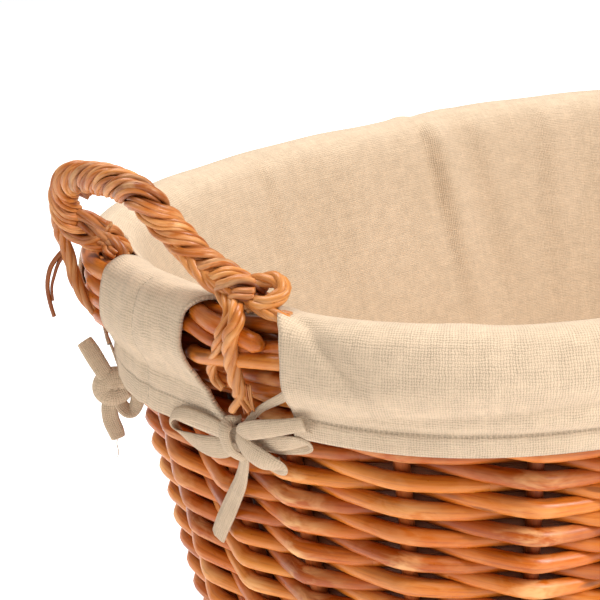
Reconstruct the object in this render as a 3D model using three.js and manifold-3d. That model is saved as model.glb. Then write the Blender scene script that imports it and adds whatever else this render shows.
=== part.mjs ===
// Oval willow laundry basket with two roped ear handles and a tied-in linen liner.
// Millimetres, +Z up, origin at the centre of the footprint on the floor.
// X runs along the basket from handle to handle, Y across it.
import * as THREE from 'three';
import { mergeVertices } from 'three/addons/utils/BufferGeometryUtils.js';
import Module from 'manifold-3d';

const wasm = await Module();
wasm.setup();

// ---- driving dimensions (mm) ----
const HEIGHT = 250;            // floor to the top of the liner's fold
const RIM_A = 300;             // half length of the rim's centre line
const RIM_B = 210;             // half width of the rim's centre line
const RIM_N = 2.448;           // squareness of the oval
const TAPER = 0.20;            // inward lean of the wall per mm of depth
const STAKE_LINE = -4;         // stake axis relative to the rim line at the top
const WALL_HALF = 11.2;        // half thickness of the woven wall
const STAKES = 29;             // upright stakes, an odd number so the weave alternates
const STAKE_R = 3.9;
const STAKE_PHASE = 26.5;      // arc length from +X to the first stake
const CHANNEL_GAP = 0.32;
const FOOT_TOP = 12;
const PANEL_BOTTOM = 12.3, PANEL_TOP = 24.3;
const UPSETT_TOP = 34;
const RANDING_TOP = 204;
const WALE_TOP = 224;
const BORDER_TOP = 247.7;
const CLOTH = 2;               // thickness the folded and hemmed liner takes up
const CUFF_BOTTOM = 188;
const BOW_R = 3.2;             // handle's core rod
const ROPE_R = 8, ROPE_BORE = 4.2;
const LEG_BOTTOM = 172;
const ROPE_START = 257;        // the wrapping opens out into the border below this
const STICK_R = 2.2;

const SEG = 58;                // facets round the oval

// ---- the oval and its offsets ----
const dense = [];
{
  const N = 7200;
  for (let i = 0; i < N; i++) {
    const t = 2 * Math.PI * i / N, c = Math.cos(t), s = Math.sin(t);
    dense.push([RIM_A * Math.sign(c) * Math.abs(c) ** (2 / RIM_N), RIM_B * Math.sign(s) * Math.abs(s) ** (2 / RIM_N)]);
  }
}
const arc = [0];
for (let i = 1; i <= dense.length; i++) {
  const p = dense[i - 1], q = dense[i % dense.length];
  arc.push(arc[i - 1] + Math.hypot(q[0] - p[0], q[1] - p[1]));
}
const PERIMETER = arc[arc.length - 1];

function rimAt(s) {
  s = ((s % PERIMETER) + PERIMETER) % PERIMETER;
  let lo = 0, hi = arc.length - 1;
  while (hi - lo > 1) { const m = (lo + hi) >> 1; if (arc[m] <= s) lo = m; else hi = m; }
  const f = (s - arc[lo]) / (arc[hi] - arc[lo]);
  const p = dense[lo], q = dense[hi % dense.length];
  const x = p[0] + (q[0] - p[0]) * f, y = p[1] + (q[1] - p[1]) * f;
  const nx = Math.sign(x) * Math.abs(x / RIM_A) ** (RIM_N - 1) / RIM_A;
  const ny = Math.sign(y) * Math.abs(y / RIM_B) ** (RIM_N - 1) / RIM_B;
  const l = Math.hypot(nx, ny);
  return { x, y, nx: nx / l, ny: ny / l };
}
function wallPoint(s, off, z) {
  const r = rimAt(s);
  return new THREE.Vector3(r.x + r.nx * off, r.y + r.ny * off, z);
}
const stakeLine = (z) => STAKE_LINE - TAPER * (HEIGHT - z);
// arc length where the left end (-X) has a given y
function leftArc(y) {
  let lo = PERIMETER / 4, hi = PERIMETER * 3 / 4;
  for (let i = 0; i < 60; i++) { const m = (lo + hi) / 2; if (rimAt(m).y > y) lo = m; else hi = m; }
  return (lo + hi) / 2;
}

// ---- solids ----
function finish(positions, indices) {
  let g = new THREE.BufferGeometry();
  g.setAttribute('position', new THREE.Float32BufferAttribute(positions, 3));
  let vol = 0;
  const P = (i) => [positions[3 * i], positions[3 * i + 1], positions[3 * i + 2]];
  for (let i = 0; i < indices.length; i += 3) {
    const a = P(indices[i]), b = P(indices[i + 1]), c = P(indices[i + 2]);
    vol += a[0] * (b[1] * c[2] - b[2] * c[1]) - a[1] * (b[0] * c[2] - b[2] * c[0]) + a[2] * (b[0] * c[1] - b[1] * c[0]);
  }
  if (vol < 0) for (let i = 0; i < indices.length; i += 3) { const t = indices[i + 1]; indices[i + 1] = indices[i + 2]; indices[i + 2] = t; }
  g.setIndex(indices);
  g.computeVertexNormals();
  return g;
}
// rings: equal-length arrays of Vector3; section2d: the same outline in 2-D, for the end caps
function loft(rings, closed, section2d) {
  const n = rings[0].length, pos = [], idx = [];
  for (const r of rings) for (const p of r) pos.push(p.x, p.y, p.z);
  const m = rings.length;
  for (let i = 0; i < (closed ? m : m - 1); i++) {
    const a = i * n, b = ((i + 1) % m) * n;
    for (let j = 0; j < n; j++) {
      const k = (j + 1) % n;
      idx.push(a + j, b + j, b + k, a + j, b + k, a + k);
    }
  }
  if (!closed) {
    const faces = THREE.ShapeUtils.triangulateShape(section2d.map(p => new THREE.Vector2(p[0], p[1])), []);
    const area = THREE.ShapeUtils.area(section2d.map(p => new THREE.Vector2(p[0], p[1])));
    const last = (m - 1) * n;
    for (const f of faces) {
      const [u, v, w] = area > 0 ? f : [f[0], f[2], f[1]];
      // the side walls run a->b with the outline; caps use the opposite turns at the two ends
      capPush(idx, u, v, w, last);
    }
  }
  return finish(pos, idx);
}
function capPush(idx, u, v, w, last) {
  idx.push(u, v, w);
  idx.push(last + u, last + w, last + v);
}
// a band round the whole oval with section points [offset, z]
function band(section, segs = SEG) {
  const rings = [];
  for (let i = 0; i < segs; i++) {
    const s = STAKE_PHASE + PERIMETER * (i + 0.5) / segs;
    rings.push(section.map(([o, z]) => wallPoint(s, o, z)));
  }
  return loft(rings, true);
}
// a point on the facets that band() makes
const breakAt = (i) => STAKE_PHASE + PERIMETER * (i + 0.5) / SEG;
function facetPoint(s, off, z) {
  const f = (s - STAKE_PHASE) * SEG / PERIMETER - 0.5, i = Math.floor(f + 1e-9);
  return new THREE.Vector3().lerpVectors(wallPoint(breakAt(i), off, z), wallPoint(breakAt(i + 1), off, z), f - i);
}
// part of the oval, from arc length s0 to s1, on the same facets as the bands
function strip(section, s0, s1) {
  let sec = section;
  if (THREE.ShapeUtils.area(sec.map(p => new THREE.Vector2(p[0], p[1]))) < 0) sec = sec.slice().reverse();
  const at = [s0];
  for (let i = -SEG; i < 3 * SEG; i++) { const s = breakAt(i); if (s > s0 + 1 && s < s1 - 1) at.push(s); }
  at.push(s1);
  return loft(at.map(s => sec.map(([o, z]) => facetPoint(s, o, z))), false, sec);
}
function plate(off, z0, z1, segs = SEG) {
  const outline = [];
  for (let i = 0; i < segs; i++) {
    const p = wallPoint(STAKE_PHASE + PERIMETER * (i + 0.5) / segs, off, 0);
    outline.push(new THREE.Vector2(p.x, p.y));
  }
  const g = new THREE.ExtrudeGeometry(new THREE.Shape(outline), { depth: z1 - z0, bevelEnabled: false, steps: 1 });
  g.translate(0, 0, z0);
  return g;
}
function rod(a, b, r, sides = 6) {
  const d = new THREE.Vector3().subVectors(b, a), L = d.length();
  const g = new THREE.CylinderGeometry(r, r, L, sides);
  g.applyQuaternion(new THREE.Quaternion().setFromUnitVectors(new THREE.Vector3(0, 1, 0), d.normalize()));
  const c = new THREE.Vector3().addVectors(a, b).multiplyScalar(0.5);
  g.translate(c.x, c.y, c.z);
  return g;
}
// tube (or sleeve, when bore > 0) through points, with frames carried along without twist
function tube(pts, r, sides, bore = 0, boreSides = 6) {
  const n = pts.length, T = [];
  for (let i = 0; i < n; i++) {
    const a = pts[Math.max(0, i - 1)], b = pts[Math.min(n - 1, i + 1)];
    T.push(new THREE.Vector3().subVectors(b, a).normalize());
  }
  let N = Math.abs(T[0].z) < 0.9 ? new THREE.Vector3(0, 0, 1) : new THREE.Vector3(1, 0, 0);
  N.addScaledVector(T[0], -N.dot(T[0])).normalize();
  const pos = [], idx = [];
  const ringOf = (c, u, v, rad, k) => {
    for (let j = 0; j < k; j++) {
      const a = 2 * Math.PI * j / k;
      pos.push(c.x + rad * (Math.cos(a) * u.x + Math.sin(a) * v.x),
               c.y + rad * (Math.cos(a) * u.y + Math.sin(a) * v.y),
               c.z + rad * (Math.cos(a) * u.z + Math.sin(a) * v.z));
    }
  };
  const k2 = bore > 0 ? sides : 0, stride = sides + k2;
  for (let i = 0; i < n; i++) {
    if (i > 0) { N.addScaledVector(T[i], -N.dot(T[i])).normalize(); }
    const V = new THREE.Vector3().crossVectors(T[i], N);
    ringOf(pts[i], N, V, r, sides);
    if (bore > 0) ringOf(pts[i], N, V, bore, sides);
  }
  for (let i = 0; i < n - 1; i++) {
    const a = i * stride, b = (i + 1) * stride;
    for (let j = 0; j < sides; j++) {
      const k = (j + 1) % sides;
      idx.push(a + j, a + k, b + k, a + j, b + k, b + j);
      if (bore > 0) {
        const c = a + sides, d = b + sides;
        idx.push(c + j, d + k, c + k, c + j, d + j, d + k);
      }
    }
  }
  const last = (n - 1) * stride;
  for (let j = 0; j < sides; j++) {
    const k = (j + 1) % sides;
    if (bore > 0) {
      idx.push(j, sides + k, k, j, sides + j, sides + k);
      idx.push(last + j, last + k, last + sides + k, last + j, last + sides + k, last + sides + j);
    }
  }
  if (bore <= 0) for (let j = 1; j < sides - 1; j++) {
    idx.push(0, j + 1, j);
    idx.push(last, last + j, last + j + 1);
  }
  return finish(pos, idx);
}
function solid(geometry) {
  const g = geometry.clone();
  g.deleteAttribute('normal');
  g.deleteAttribute('uv');
  const m = mergeVertices(g, 1e-4);
  return new wasm.Manifold(new wasm.Mesh({ numProp: 3, vertProperties: new Float32Array(m.attributes.position.array), triVerts: new Uint32Array(m.index.array) }));
}
function cut(geometry, tools) {
  let body = solid(geometry);
  for (const t of tools) body = body.subtract(solid(t));
  const out = body.getMesh();
  const g = new THREE.BufferGeometry();
  g.setAttribute('position', new THREE.BufferAttribute(new Float32Array(out.vertProperties), 3));
  g.setIndex(new THREE.BufferAttribute(new Uint32Array(out.triVerts), 1));
  g.computeVertexNormals();
  return g;
}

// ---- materials ----
const willow = (r, g, b) => new THREE.MeshStandardMaterial({ color: new THREE.Color(r, g, b), roughness: 0.45, metalness: 0 });
const linen = (r, g, b) => new THREE.MeshStandardMaterial({ color: new THREE.Color(r, g, b), roughness: 0.95, metalness: 0 });
const group = new THREE.Group();
function add(name, geometry, material, turn = 0) {
  const m = new THREE.Mesh(geometry, material);
  m.name = name;
  m.rotation.z = turn;
  group.add(m);
}

// ---- stakes and the channels they stand in ----
// how far each stake stands from even spacing: closer together round the left end, wider along the front
const SHIFT = [-1, 0, 0, 0, 0, 0, 0, 0, 0, 1, 3, 5.5, 8, 9.4, 2.3, -6.5, -1.2, 7.3, 8, 6.5, 5, 3.5, 2, 1, 0, -2, -5, -9, -5];
const stakeArc = (k) => STAKE_PHASE + PERIMETER * k / STAKES + SHIFT[k];
const stakeEnds = [];
for (let k = 0; k < STAKES; k++) {
  const s = stakeArc(k);
  stakeEnds.push((z0, z1) => [wallPoint(s, stakeLine(z0), z0), wallPoint(s, stakeLine(z1), z1)]);
}
const stakeTools = (z0, z1) => stakeEnds.map(f => rod(...f(z0 - 2, z1 + 2), STAKE_R + CHANNEL_GAP));

// ---- handle route, leaning out from the rim; its near side is steeper than its far side ----
const S_FAR = leftArc(84.5), S_NEAR = leftArc(-39);
const legTop = 248.5;
function handleRoute() {
  const arch = [[-285.8, 84, 253], [-292, 86, 255.5], [-299, 87.5, 260], [-304.5, 88, 266], [-308, 87, 273.5], [-311, 81.5, 283], [-314, 70, 291.5], [-316, 53, 296],
    [-319, 29.2, 298.7], [-320.2, 13.9, 298.3], [-319.4, -1, 294.9], [-311.8, -7.2, 282.3], [-304.2, -16, 269.4], [-300.5, -25, 262.5], [-297, -33, 257.2]];
  const a0 = wallPoint(S_FAR, stakeLine(LEG_BOTTOM), LEG_BOTTOM), a1 = wallPoint(S_FAR, stakeLine(legTop), legTop);
  const b0 = wallPoint(S_NEAR, stakeLine(LEG_BOTTOM), LEG_BOTTOM), b1 = wallPoint(S_NEAR, stakeLine(legTop), legTop);
  const mid = arch.map((p) => new THREE.Vector3(...p));
  const up = (p, q, t) => new THREE.Vector3().lerpVectors(p, q, t);
  const curve = new THREE.CatmullRomCurve3([up(a0, a1, 0.93), a1, ...mid, b1, up(b0, b1, 0.93)], false, 'centripetal');
  // keep only the stretch above the border
  const pts = curve.getSpacedPoints(220).filter(p => p.z > legTop + 0.4);
  const out = [];
  for (let i = 0; i < pts.length; i += 7) out.push(pts[i]);
  if (out[out.length - 1] !== pts[pts.length - 1]) out.push(pts[pts.length - 1]);
  return { a0, a1, b0, b1, arch: out };
}
const H = handleRoute();
const bowPts = [H.a0, H.a1, ...H.arch, H.b1, H.b0];
const legTools = [];
for (const turn of [0, Math.PI]) for (const [p, q] of [[H.a0, H.a1], [H.b0, H.b1]]) {
  const d = new THREE.Vector3().subVectors(q, p).normalize();
  const t = rod(p.clone().addScaledVector(d, -0.4), q.clone().addScaledVector(d, 3), BOW_R + 0.9);
  t.rotateZ(turn);
  legTools.push(t);
}

// ---- base ----
const lineOut = (z) => stakeLine(z) + WALL_HALF, lineIn = (z) => stakeLine(z) - WALL_HALF;
add('foot_border', band([[-60, 0], [-44.5, 0], [-40.3, 4], [-40.3, 9], [-43, FOOT_TOP], [-60, FOOT_TOP], [-63, 9], [-63, 3]]), willow(0.56, 0.25, 0.08));
const longSticks = [-34, 0, 34], shortSticks = [-126, -42, 42, 126];
const PANEL_OFF = -63.6;
const halfAlong = (value, axis) => {
  // distance from the middle to the panel's edge along X (axis 0) or Y (axis 1)
  let best = 0;
  for (let i = 0; i < 2000; i++) {
    const p = wallPoint(PERIMETER * i / 2000, PANEL_OFF, 0);
    const across = axis === 0 ? p.y : p.x, along = axis === 0 ? p.x : p.y;
    if (Math.abs(across - value) < 3) best = Math.max(best, along);
  }
  return best - 3;
};
const Z_LONG = 15.35, Z_SHORT = 21.25;
const stickEnds = [];
longSticks.forEach((y, i) => { const L = halfAlong(y, 0); stickEnds.push([`base_stick_long_${i + 1}`, [-L, y, Z_LONG], [L, y, Z_LONG], [1, 0, 0]]); });
shortSticks.forEach((x, i) => { const L = halfAlong(x, 1); stickEnds.push([`base_stick_short_${i + 1}`, [x, -L, Z_SHORT], [x, L, Z_SHORT], [0, 1, 0]]); });
const v = (p) => new THREE.Vector3(...p);
add('base_panel', cut(plate(PANEL_OFF, PANEL_BOTTOM, PANEL_TOP), stickEnds.map(([, a, b, d]) => rod(v(a).addScaledVector(v(d), -20), v(b).addScaledVector(v(d), 20), STICK_R + 0.3))), willow(0.58, 0.27, 0.09));
for (const [name, a, b] of stickEnds) add(name, rod(v(a), v(b), STICK_R), willow(0.50, 0.22, 0.08));

// ---- wall ----
const wallBand = (z0, z1) => [[lineIn(z0), z0], [lineOut(z0), z0], [lineOut(z1), z1], [lineIn(z1), z1]];
add('upsett_wale', cut(band(wallBand(PANEL_BOTTOM, UPSETT_TOP)), stakeTools(PANEL_BOTTOM + 3.5, UPSETT_TOP)), willow(0.60, 0.27, 0.08));
add('wall_randing', cut(band(wallBand(UPSETT_TOP + 0.3, RANDING_TOP)), [...stakeTools(UPSETT_TOP, RANDING_TOP), ...legTools]), willow(0.66, 0.32, 0.11));
add('top_wale', cut(band(wallBand(RANDING_TOP + 0.3, WALE_TOP)), [...stakeTools(RANDING_TOP, WALE_TOP), ...legTools]), willow(0.62, 0.29, 0.09));
add('top_border', cut(band([[-7, WALE_TOP + 0.3], [5, WALE_TOP + 0.3], [9, 229], [9, 242], [5, BORDER_TOP], [-6, BORDER_TOP], [-11, 243], [-11, 229]]), legTools), willow(0.60, 0.28, 0.09));
stakeEnds.forEach((f, k) => {
  const [p, q] = f(PANEL_BOTTOM + 2, WALE_TOP);
  add(`stake_${String(k + 1).padStart(2, '0')}`, rod(p, q, STAKE_R), willow(0.50, 0.22, 0.09));
});

// ---- handles ----
const bow = tube(bowPts, BOW_R, 6), rope = tube(H.arch.filter(p => p.z > ROPE_START), ROPE_R, 8, ROPE_BORE);
function tail(list, r) {
  const c = new THREE.CatmullRomCurve3(list.map(([s, o, z]) => wallPoint(s, o, z)));
  return tube(c.getSpacedPoints(7), r, 6);
}
const nearTail = tail([[S_NEAR - 4, 12.5, 245], [S_NEAR - 6, 13, 232], [S_NEAR - 6, 8, 214], [S_NEAR - 8, 3.5, 202]], 2.6);
const farTail = tail([[S_FAR - 2, 12.5, 246], [S_FAR - 3, 13, 232], [S_FAR - 1, 8, 214], [S_FAR + 1, 2.5, 198]], 2.6);
[['left', 0], ['right', Math.PI]].forEach(([side, turn]) => {
  add(`handle_${side}_bow`, bow.clone(), willow(0.52, 0.24, 0.09), turn);
  add(`handle_${side}_rope`, rope.clone(), willow(0.70, 0.36, 0.14), turn);
  add(`handle_${side}_tail_near`, nearTail.clone(), willow(0.66, 0.33, 0.14), turn);
  add(`handle_${side}_tail_far`, farTail.clone(), willow(0.66, 0.33, 0.14), turn);
});

// ---- liner ----
const L_TOP = 236;
add('liner_base_panel', plate(-63.4, PANEL_TOP + 0.3, PANEL_TOP + 0.3 + CLOTH), linen(0.78, 0.66, 0.52));
add('liner_wall_panel', band([[lineIn(24.6) - 0.6, 24.6], [lineIn(L_TOP) - 0.6, L_TOP], [lineIn(L_TOP) - 0.6 - CLOTH, L_TOP], [lineIn(24.6) - 0.6 - CLOTH, 24.6]]), linen(0.80, 0.68, 0.54));
const cuffSection = [
  [-18.6, 236.4], [-11.7, 243.6], [-6.3, 248.1], [5.3, 248.1], [9.5, 242.4], [9.5, 228], [-4.6, CUFF_BOTTOM],
  [-2.6, CUFF_BOTTOM - 0.4], [11.5, 227.6], [11.5, 243], [6, HEIGHT], [-6.9, HEIGHT], [-13, 245.2], [-20.4, 237.2],
];
const CUFF_FROM = leftArc(-59), CUFF_TO = leftArc(97) + PERIMETER / 2;
const TAB_FROM = leftArc(62), TAB_TO = leftArc(-17);
const cuff = strip(cuffSection, CUFF_FROM, CUFF_TO), tab = strip(cuffSection, TAB_FROM, TAB_TO);
add('liner_cuff_front', cuff.clone(), linen(0.80, 0.68, 0.54), 0);
add('liner_cuff_rear', cuff.clone(), linen(0.80, 0.68, 0.54), Math.PI);
add('liner_tab_left', tab.clone(), linen(0.78, 0.68, 0.55), 0);
add('liner_tab_right', tab.clone(), linen(0.78, 0.68, 0.55), Math.PI);

// ---- bows tied across the foot of each cut-out ----
function tie(s, z) {
  const sh = new THREE.Shape([[-30, 2], [-24, 10], [-5, 4], [4, 5], [24, 10], [30, 2], [24, -7], [6, -4], [1, -30], [-9, -30], [-5, -5], [-24, -9]].map(p => new THREE.Vector2(p[0], p[1])));
  const g = new THREE.ExtrudeGeometry(sh, { depth: 6, bevelEnabled: false, steps: 1 });
  const r = rimAt(s), out = new THREE.Vector3(r.nx, r.ny, 0);
  const up = new THREE.Vector3(r.nx * TAPER, r.ny * TAPER, 1).normalize();
  const side = new THREE.Vector3().crossVectors(up, out).normalize();
  const face = new THREE.Vector3().crossVectors(side, up).normalize();
  const c = wallPoint(s, lineOut(z) + 4, z);
  g.applyMatrix4(new THREE.Matrix4().makeBasis(side, up, face).setPosition(c));
  return g;
}
const nearTie = tie(leftArc(-31), 176), farTie = tie(leftArc(79), 176);
[['left', 0], ['right', Math.PI]].forEach(([side, turn]) => {
  add(`tie_bow_${side}_near`, nearTie.clone(), linen(0.72, 0.64, 0.53), turn);
  add(`tie_bow_${side}_far`, farTie.clone(), linen(0.72, 0.64, 0.53), turn);
});

export default group;
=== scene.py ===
# Looks of an oval willow laundry basket with a linen liner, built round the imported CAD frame.
import bpy
import math
import numpy as np
from mathutils import Matrix, Vector


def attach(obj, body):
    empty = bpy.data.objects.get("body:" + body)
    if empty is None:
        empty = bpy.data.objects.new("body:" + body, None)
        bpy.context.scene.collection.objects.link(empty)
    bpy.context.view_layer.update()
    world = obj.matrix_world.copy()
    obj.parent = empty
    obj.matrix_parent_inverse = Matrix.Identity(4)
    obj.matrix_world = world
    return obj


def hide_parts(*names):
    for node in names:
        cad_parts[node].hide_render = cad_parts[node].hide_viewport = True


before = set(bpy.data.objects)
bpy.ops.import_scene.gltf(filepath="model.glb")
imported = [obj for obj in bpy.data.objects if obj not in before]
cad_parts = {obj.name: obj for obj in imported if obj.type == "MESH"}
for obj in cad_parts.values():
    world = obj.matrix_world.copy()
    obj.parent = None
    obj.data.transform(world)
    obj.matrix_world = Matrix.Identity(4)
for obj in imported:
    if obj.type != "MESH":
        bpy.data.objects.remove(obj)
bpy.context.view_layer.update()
RNG = np.random.default_rng(41)
MM = 0.001

# ---------------------------------------------------------------- the oval (mm), as in the CAD
HEIGHT, RIM_A, RIM_B, RIM_N = 250.0, 300.0, 210.0, 2.448
TAPER, STAKE_LINE, WALL_HALF = 0.20, -4.0, 11.2
STAKES, STAKE_PHASE = 29, 26.5
_t = np.linspace(0, 2 * np.pi, 14401)[:-1]
_X = RIM_A * np.sign(np.cos(_t)) * np.abs(np.cos(_t)) ** (2 / RIM_N)
_Y = RIM_B * np.sign(np.sin(_t)) * np.abs(np.sin(_t)) ** (2 / RIM_N)
_S = np.r_[0, np.cumsum(np.hypot(np.diff(np.r_[_X, _X[0]]), np.diff(np.r_[_Y, _Y[0]])))]
PER = float(_S[-1])
_XP, _YP = np.r_[_X, _X[0]], np.r_[_Y, _Y[0]]
PITCH_S = PER / STAKES


SHIFT = np.array([-1, 0, 0, 0, 0, 0, 0, 0, 0, 1, 3, 5.5, 8, 9.4, 2.3, -6.5, -1.2, 7.3, 8, 6.5, 5, 3.5, 2, 1, 0, -2, -5, -9, -5, -1])


def at_stake(u):
    """Arc length at stake index u; the stakes are closer round the left end and wider along the front."""
    u = np.asarray(u, float)
    return STAKE_PHASE + PITCH_S * u + np.interp(np.mod(u, STAKES), np.arange(STAKES + 1), SHIFT)


def rim(s):
    """x, y and outward normal of the rim line at arc length s."""
    s = np.mod(np.asarray(s, float), PER)
    x, y = np.interp(s, _S, _XP), np.interp(s, _S, _YP)
    nx = np.sign(x) * np.abs(x / RIM_A) ** (RIM_N - 1) / RIM_A
    ny = np.sign(y) * np.abs(y / RIM_B) ** (RIM_N - 1) / RIM_B
    l = np.hypot(nx, ny)
    return x, y, nx / l, ny / l


def wall(s, off, z):
    """Points at arc length s, offset off from the rim line, height z: an (n, 3) array in mm."""
    s, off, z = np.broadcast_arrays(np.asarray(s, float), np.asarray(off, float), np.asarray(z, float))
    x, y, nx, ny = rim(s)
    return np.stack([x + nx * off, y + ny * off, z], -1)


def line(z):
    return STAKE_LINE - TAPER * (HEIGHT - np.asarray(z, float))


def left_arc(y):
    s = np.linspace(PER / 4, PER * 3 / 4, 4001)
    return float(np.interp(-y, -rim(s)[1], s))


def smooth(x):
    x = np.clip(x, 0, 1)
    return x * x * (3 - 2 * x)


def spline(ctrl, n, closed=False):
    """Centripetal-ish Catmull-Rom through ctrl (any number of columns), n samples evenly spaced in length."""
    c = np.asarray(ctrl, float)
    p = np.vstack([2 * c[0] - c[1], c, 2 * c[-1] - c[-2]])
    out = []
    for i in range(1, len(p) - 2):
        t = np.linspace(0, 1, 25)[:-1, None]
        a, b, d, e = p[i - 1], p[i], p[i + 1], p[i + 2]
        out.append(0.5 * (2 * b + (d - a) * t + (2 * a - 5 * b + 4 * d - e) * t ** 2 + (3 * b - a - 3 * d + e) * t ** 3))
    out.append(c[-1:])
    q = np.vstack(out)
    l = np.r_[0, np.cumsum(np.linalg.norm(np.diff(q[:, :3], axis=0), axis=1))]
    u = np.linspace(0, l[-1], n)
    return np.stack([np.interp(u, l, q[:, k]) for k in range(q.shape[1])], 1)


HALF_TURN = math.pi


def turned(v, ang):
    """Points turned about the upright axis."""
    c, s = math.cos(ang), math.sin(ang)
    v = np.asarray(v, float)
    return np.stack([v[..., 0] * c - v[..., 1] * s, v[..., 0] * s + v[..., 1] * c, v[..., 2]], -1)


# ---------------------------------------------------------------- mesh gathering
class Soup:
    """Collects tubes and strips into one mesh, with per-vertex attributes for the materials."""

    def __init__(self):
        self.v, self.f, self.n = [], [], 0
        self.rc, self.rnd, self.wear, self.painted_shade = [], [], [], []

    def add(self, v, f, rc, rnd, wear=0.0, painted_shade=0.0):
        v = np.asarray(v, float)
        k = len(v)
        self.v.append(v)
        self.f += [tuple(int(i) + self.n for i in q) for q in f]
        self.rc.append(np.asarray(rc, float))
        self.rnd.append(np.broadcast_to(np.asarray(rnd, float), (k,)))
        self.wear.append(np.broadcast_to(np.asarray(wear, float), (k,)))
        self.painted_shade.append(np.broadcast_to(np.asarray(painted_shade, float), (k,)))
        self.n += k

    def tube(self, path, r, sides=10, rnd=None, wear=0.0, painted_shade=0.0, up=None, squash=1.0, cut=0.0, twist=0.0, ridges=0, ridge=0.0, shift=None):
        """Closed tube. path (n,3) mm, r scalar or (n,), wear and the painted-shade amount scalar or (n,)."""
        path = np.asarray(path, float)
        n = len(path)
        r = np.broadcast_to(np.asarray(r, float), (n,)).copy()
        T = np.gradient(path, axis=0)
        T /= np.linalg.norm(T, axis=1)[:, None] + 1e-12
        if up is None:
            N = np.zeros_like(T)
            a = np.array([0, 0, 1.0]) if abs(T[0][2]) < 0.8 else np.array([1.0, 0, 0])
            a = a - a.dot(T[0]) * T[0]
            N[0] = a / np.linalg.norm(a)
            for i in range(1, n):
                a = N[i - 1] - N[i - 1].dot(T[i]) * T[i]
                N[i] = a / np.linalg.norm(a)
        else:
            N = np.asarray(up, float)
            N = N - (N * T).sum(1)[:, None] * T
            N /= np.linalg.norm(N, axis=1)[:, None]
        B = np.cross(T, N)
        L = np.r_[0, np.cumsum(np.linalg.norm(np.diff(path, axis=0), axis=1))]
        th = np.linspace(0, 2 * np.pi, sides, endpoint=False)
        rnd = RNG.random() if rnd is None else rnd
        ph = rnd * 50.0
        rr = r[:, None] * np.ones((1, sides))
        if ridges:
            rr = rr * (1 + ridge * np.cos(ridges * th[None, :] + twist * L[:, None] + ph))
        # slightly out of round and lumpy, as a grown rod is
        rr = rr * (1 + 0.025 * np.cos(2 * th[None, :] + 0.03 * L[:, None] + ph) + 0.018 * np.sin(0.11 * L[:, None] + ph) + 0.012 * np.sin(0.37 * L[:, None] + 2.1 * ph))
        cx, cy = np.cos(th)[None, :, None], np.sin(th)[None, :, None]
        v = path[:, None, :] + rr[:, :, None] * (cx * N[:, None, :] * squash + cy * B[:, None, :])
        rc = np.stack([np.broadcast_to(L[:, None], rr.shape) + ph * 40, rr * np.cos(th)[None, :], rr * np.sin(th)[None, :]], -1)
        wv = np.repeat(np.broadcast_to(np.asarray(wear, float), (n,)), sides)
        dv = painted_shade(v).reshape(-1) if callable(painted_shade) else np.repeat(np.broadcast_to(np.asarray(painted_shade, float), (n,)), sides)
        V, RC = v.reshape(-1, 3), rc.reshape(-1, 3)
        F = []
        for i in range(n - 1):
            a, b = i * sides, (i + 1) * sides
            for j in range(sides):
                k = (j + 1) % sides
                F.append((a + j, a + k, b + k, b + j))
        # ends: an inset ring and a centre, so that the cut end is slightly domed
        for end, base, sgn in ((0, 0, -1), (n - 1, (n - 1) * sides, 1)):
            c = path[end]
            ins = c + (V[base:base + sides] - c) * 0.55 + sgn * T[end] * r[end] * (0.12 + cut)
            tip = c + sgn * T[end] * r[end] * (0.14 + cut)
            o = len(V)
            V = np.vstack([V, ins, tip[None]])
            RC = np.vstack([RC, RC[base:base + sides] * [1, 0.5, 0.5], [[RC[base][0], 0, 0]]])
            wv = np.r_[wv, np.full(sides, 0.9), 0.9]
            dv = np.r_[dv, np.full(sides, dv[base]), dv[base]]
            for j in range(sides):
                k = (j + 1) % sides
                if sgn < 0:
                    F.append((base + k, base + j, o + j, o + k))
                    F.append((o + k, o + j, o + sides))
                else:
                    F.append((base + j, base + k, o + k, o + j))
                    F.append((o + j, o + k, o + sides))
        self.add(V, F, RC, rnd, wv, dv)

    def ribbon(self, path, side, width, thick, rnd=0.5, n_w=9, crown=0.0, fold=None):
        """Flat tape with rounded edges. path (n,3), side (n,3) width direction, width and thick (n,)."""
        path, side = np.asarray(path, float), np.asarray(side, float)
        n = len(path)
        T = np.gradient(path, axis=0)
        T /= np.linalg.norm(T, axis=1)[:, None] + 1e-12
        side = side - (side * T).sum(1)[:, None] * T
        side /= np.linalg.norm(side, axis=1)[:, None] + 1e-12
        nor = np.cross(T, side)
        width = np.broadcast_to(np.asarray(width, float), (n,))
        thick = np.broadcast_to(np.asarray(thick, float), (n,))
        L = np.r_[0, np.cumsum(np.linalg.norm(np.diff(path, axis=0), axis=1))]
        x = np.linspace(-1, 1, n_w)
        prof = np.sqrt(np.clip(1 - np.abs(x) ** 6, 0.0, 1)) * 0.5
        up = np.stack([x, prof], 1)
        lo = np.stack([x[::-1], -prof[::-1]], 1)[1:-1]
        sec = np.vstack([up, lo])
        m = len(sec)
        bump = crown * (1 - sec[:, 0] ** 2)
        if fold is not None:
            bump = bump + fold(sec[:, 0])
        v = (path[:, None, :] + side[:, None, :] * (sec[None, :, 0:1] * width[:, None, None] / 2)
             + nor[:, None, :] * ((sec[None, :, 1] * thick[:, None]) + bump[None, :] * np.minimum(width, 14)[:, None] / 14)[:, :, None])
        rc = np.stack([np.broadcast_to(L[:, None], (n, m)) + rnd * 900, np.broadcast_to(sec[None, :, 0] * width[:, None] / 2, (n, m)), np.zeros((n, m))], -1)
        F = []
        for i in range(n - 1):
            a, b = i * m, (i + 1) * m
            for j in range(m):
                k = (j + 1) % m
                F.append((a + j, b + j, b + k, a + k))
        F.append(tuple(range(m)))
        F.append(tuple(range((n - 1) * m, n * m))[::-1])
        self.add(v.reshape(-1, 3), F, rc.reshape(-1, 3), rnd)
        return float(np.sum(0.5 * (width[1:] + width[:-1]) * np.diff(L)))

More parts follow.
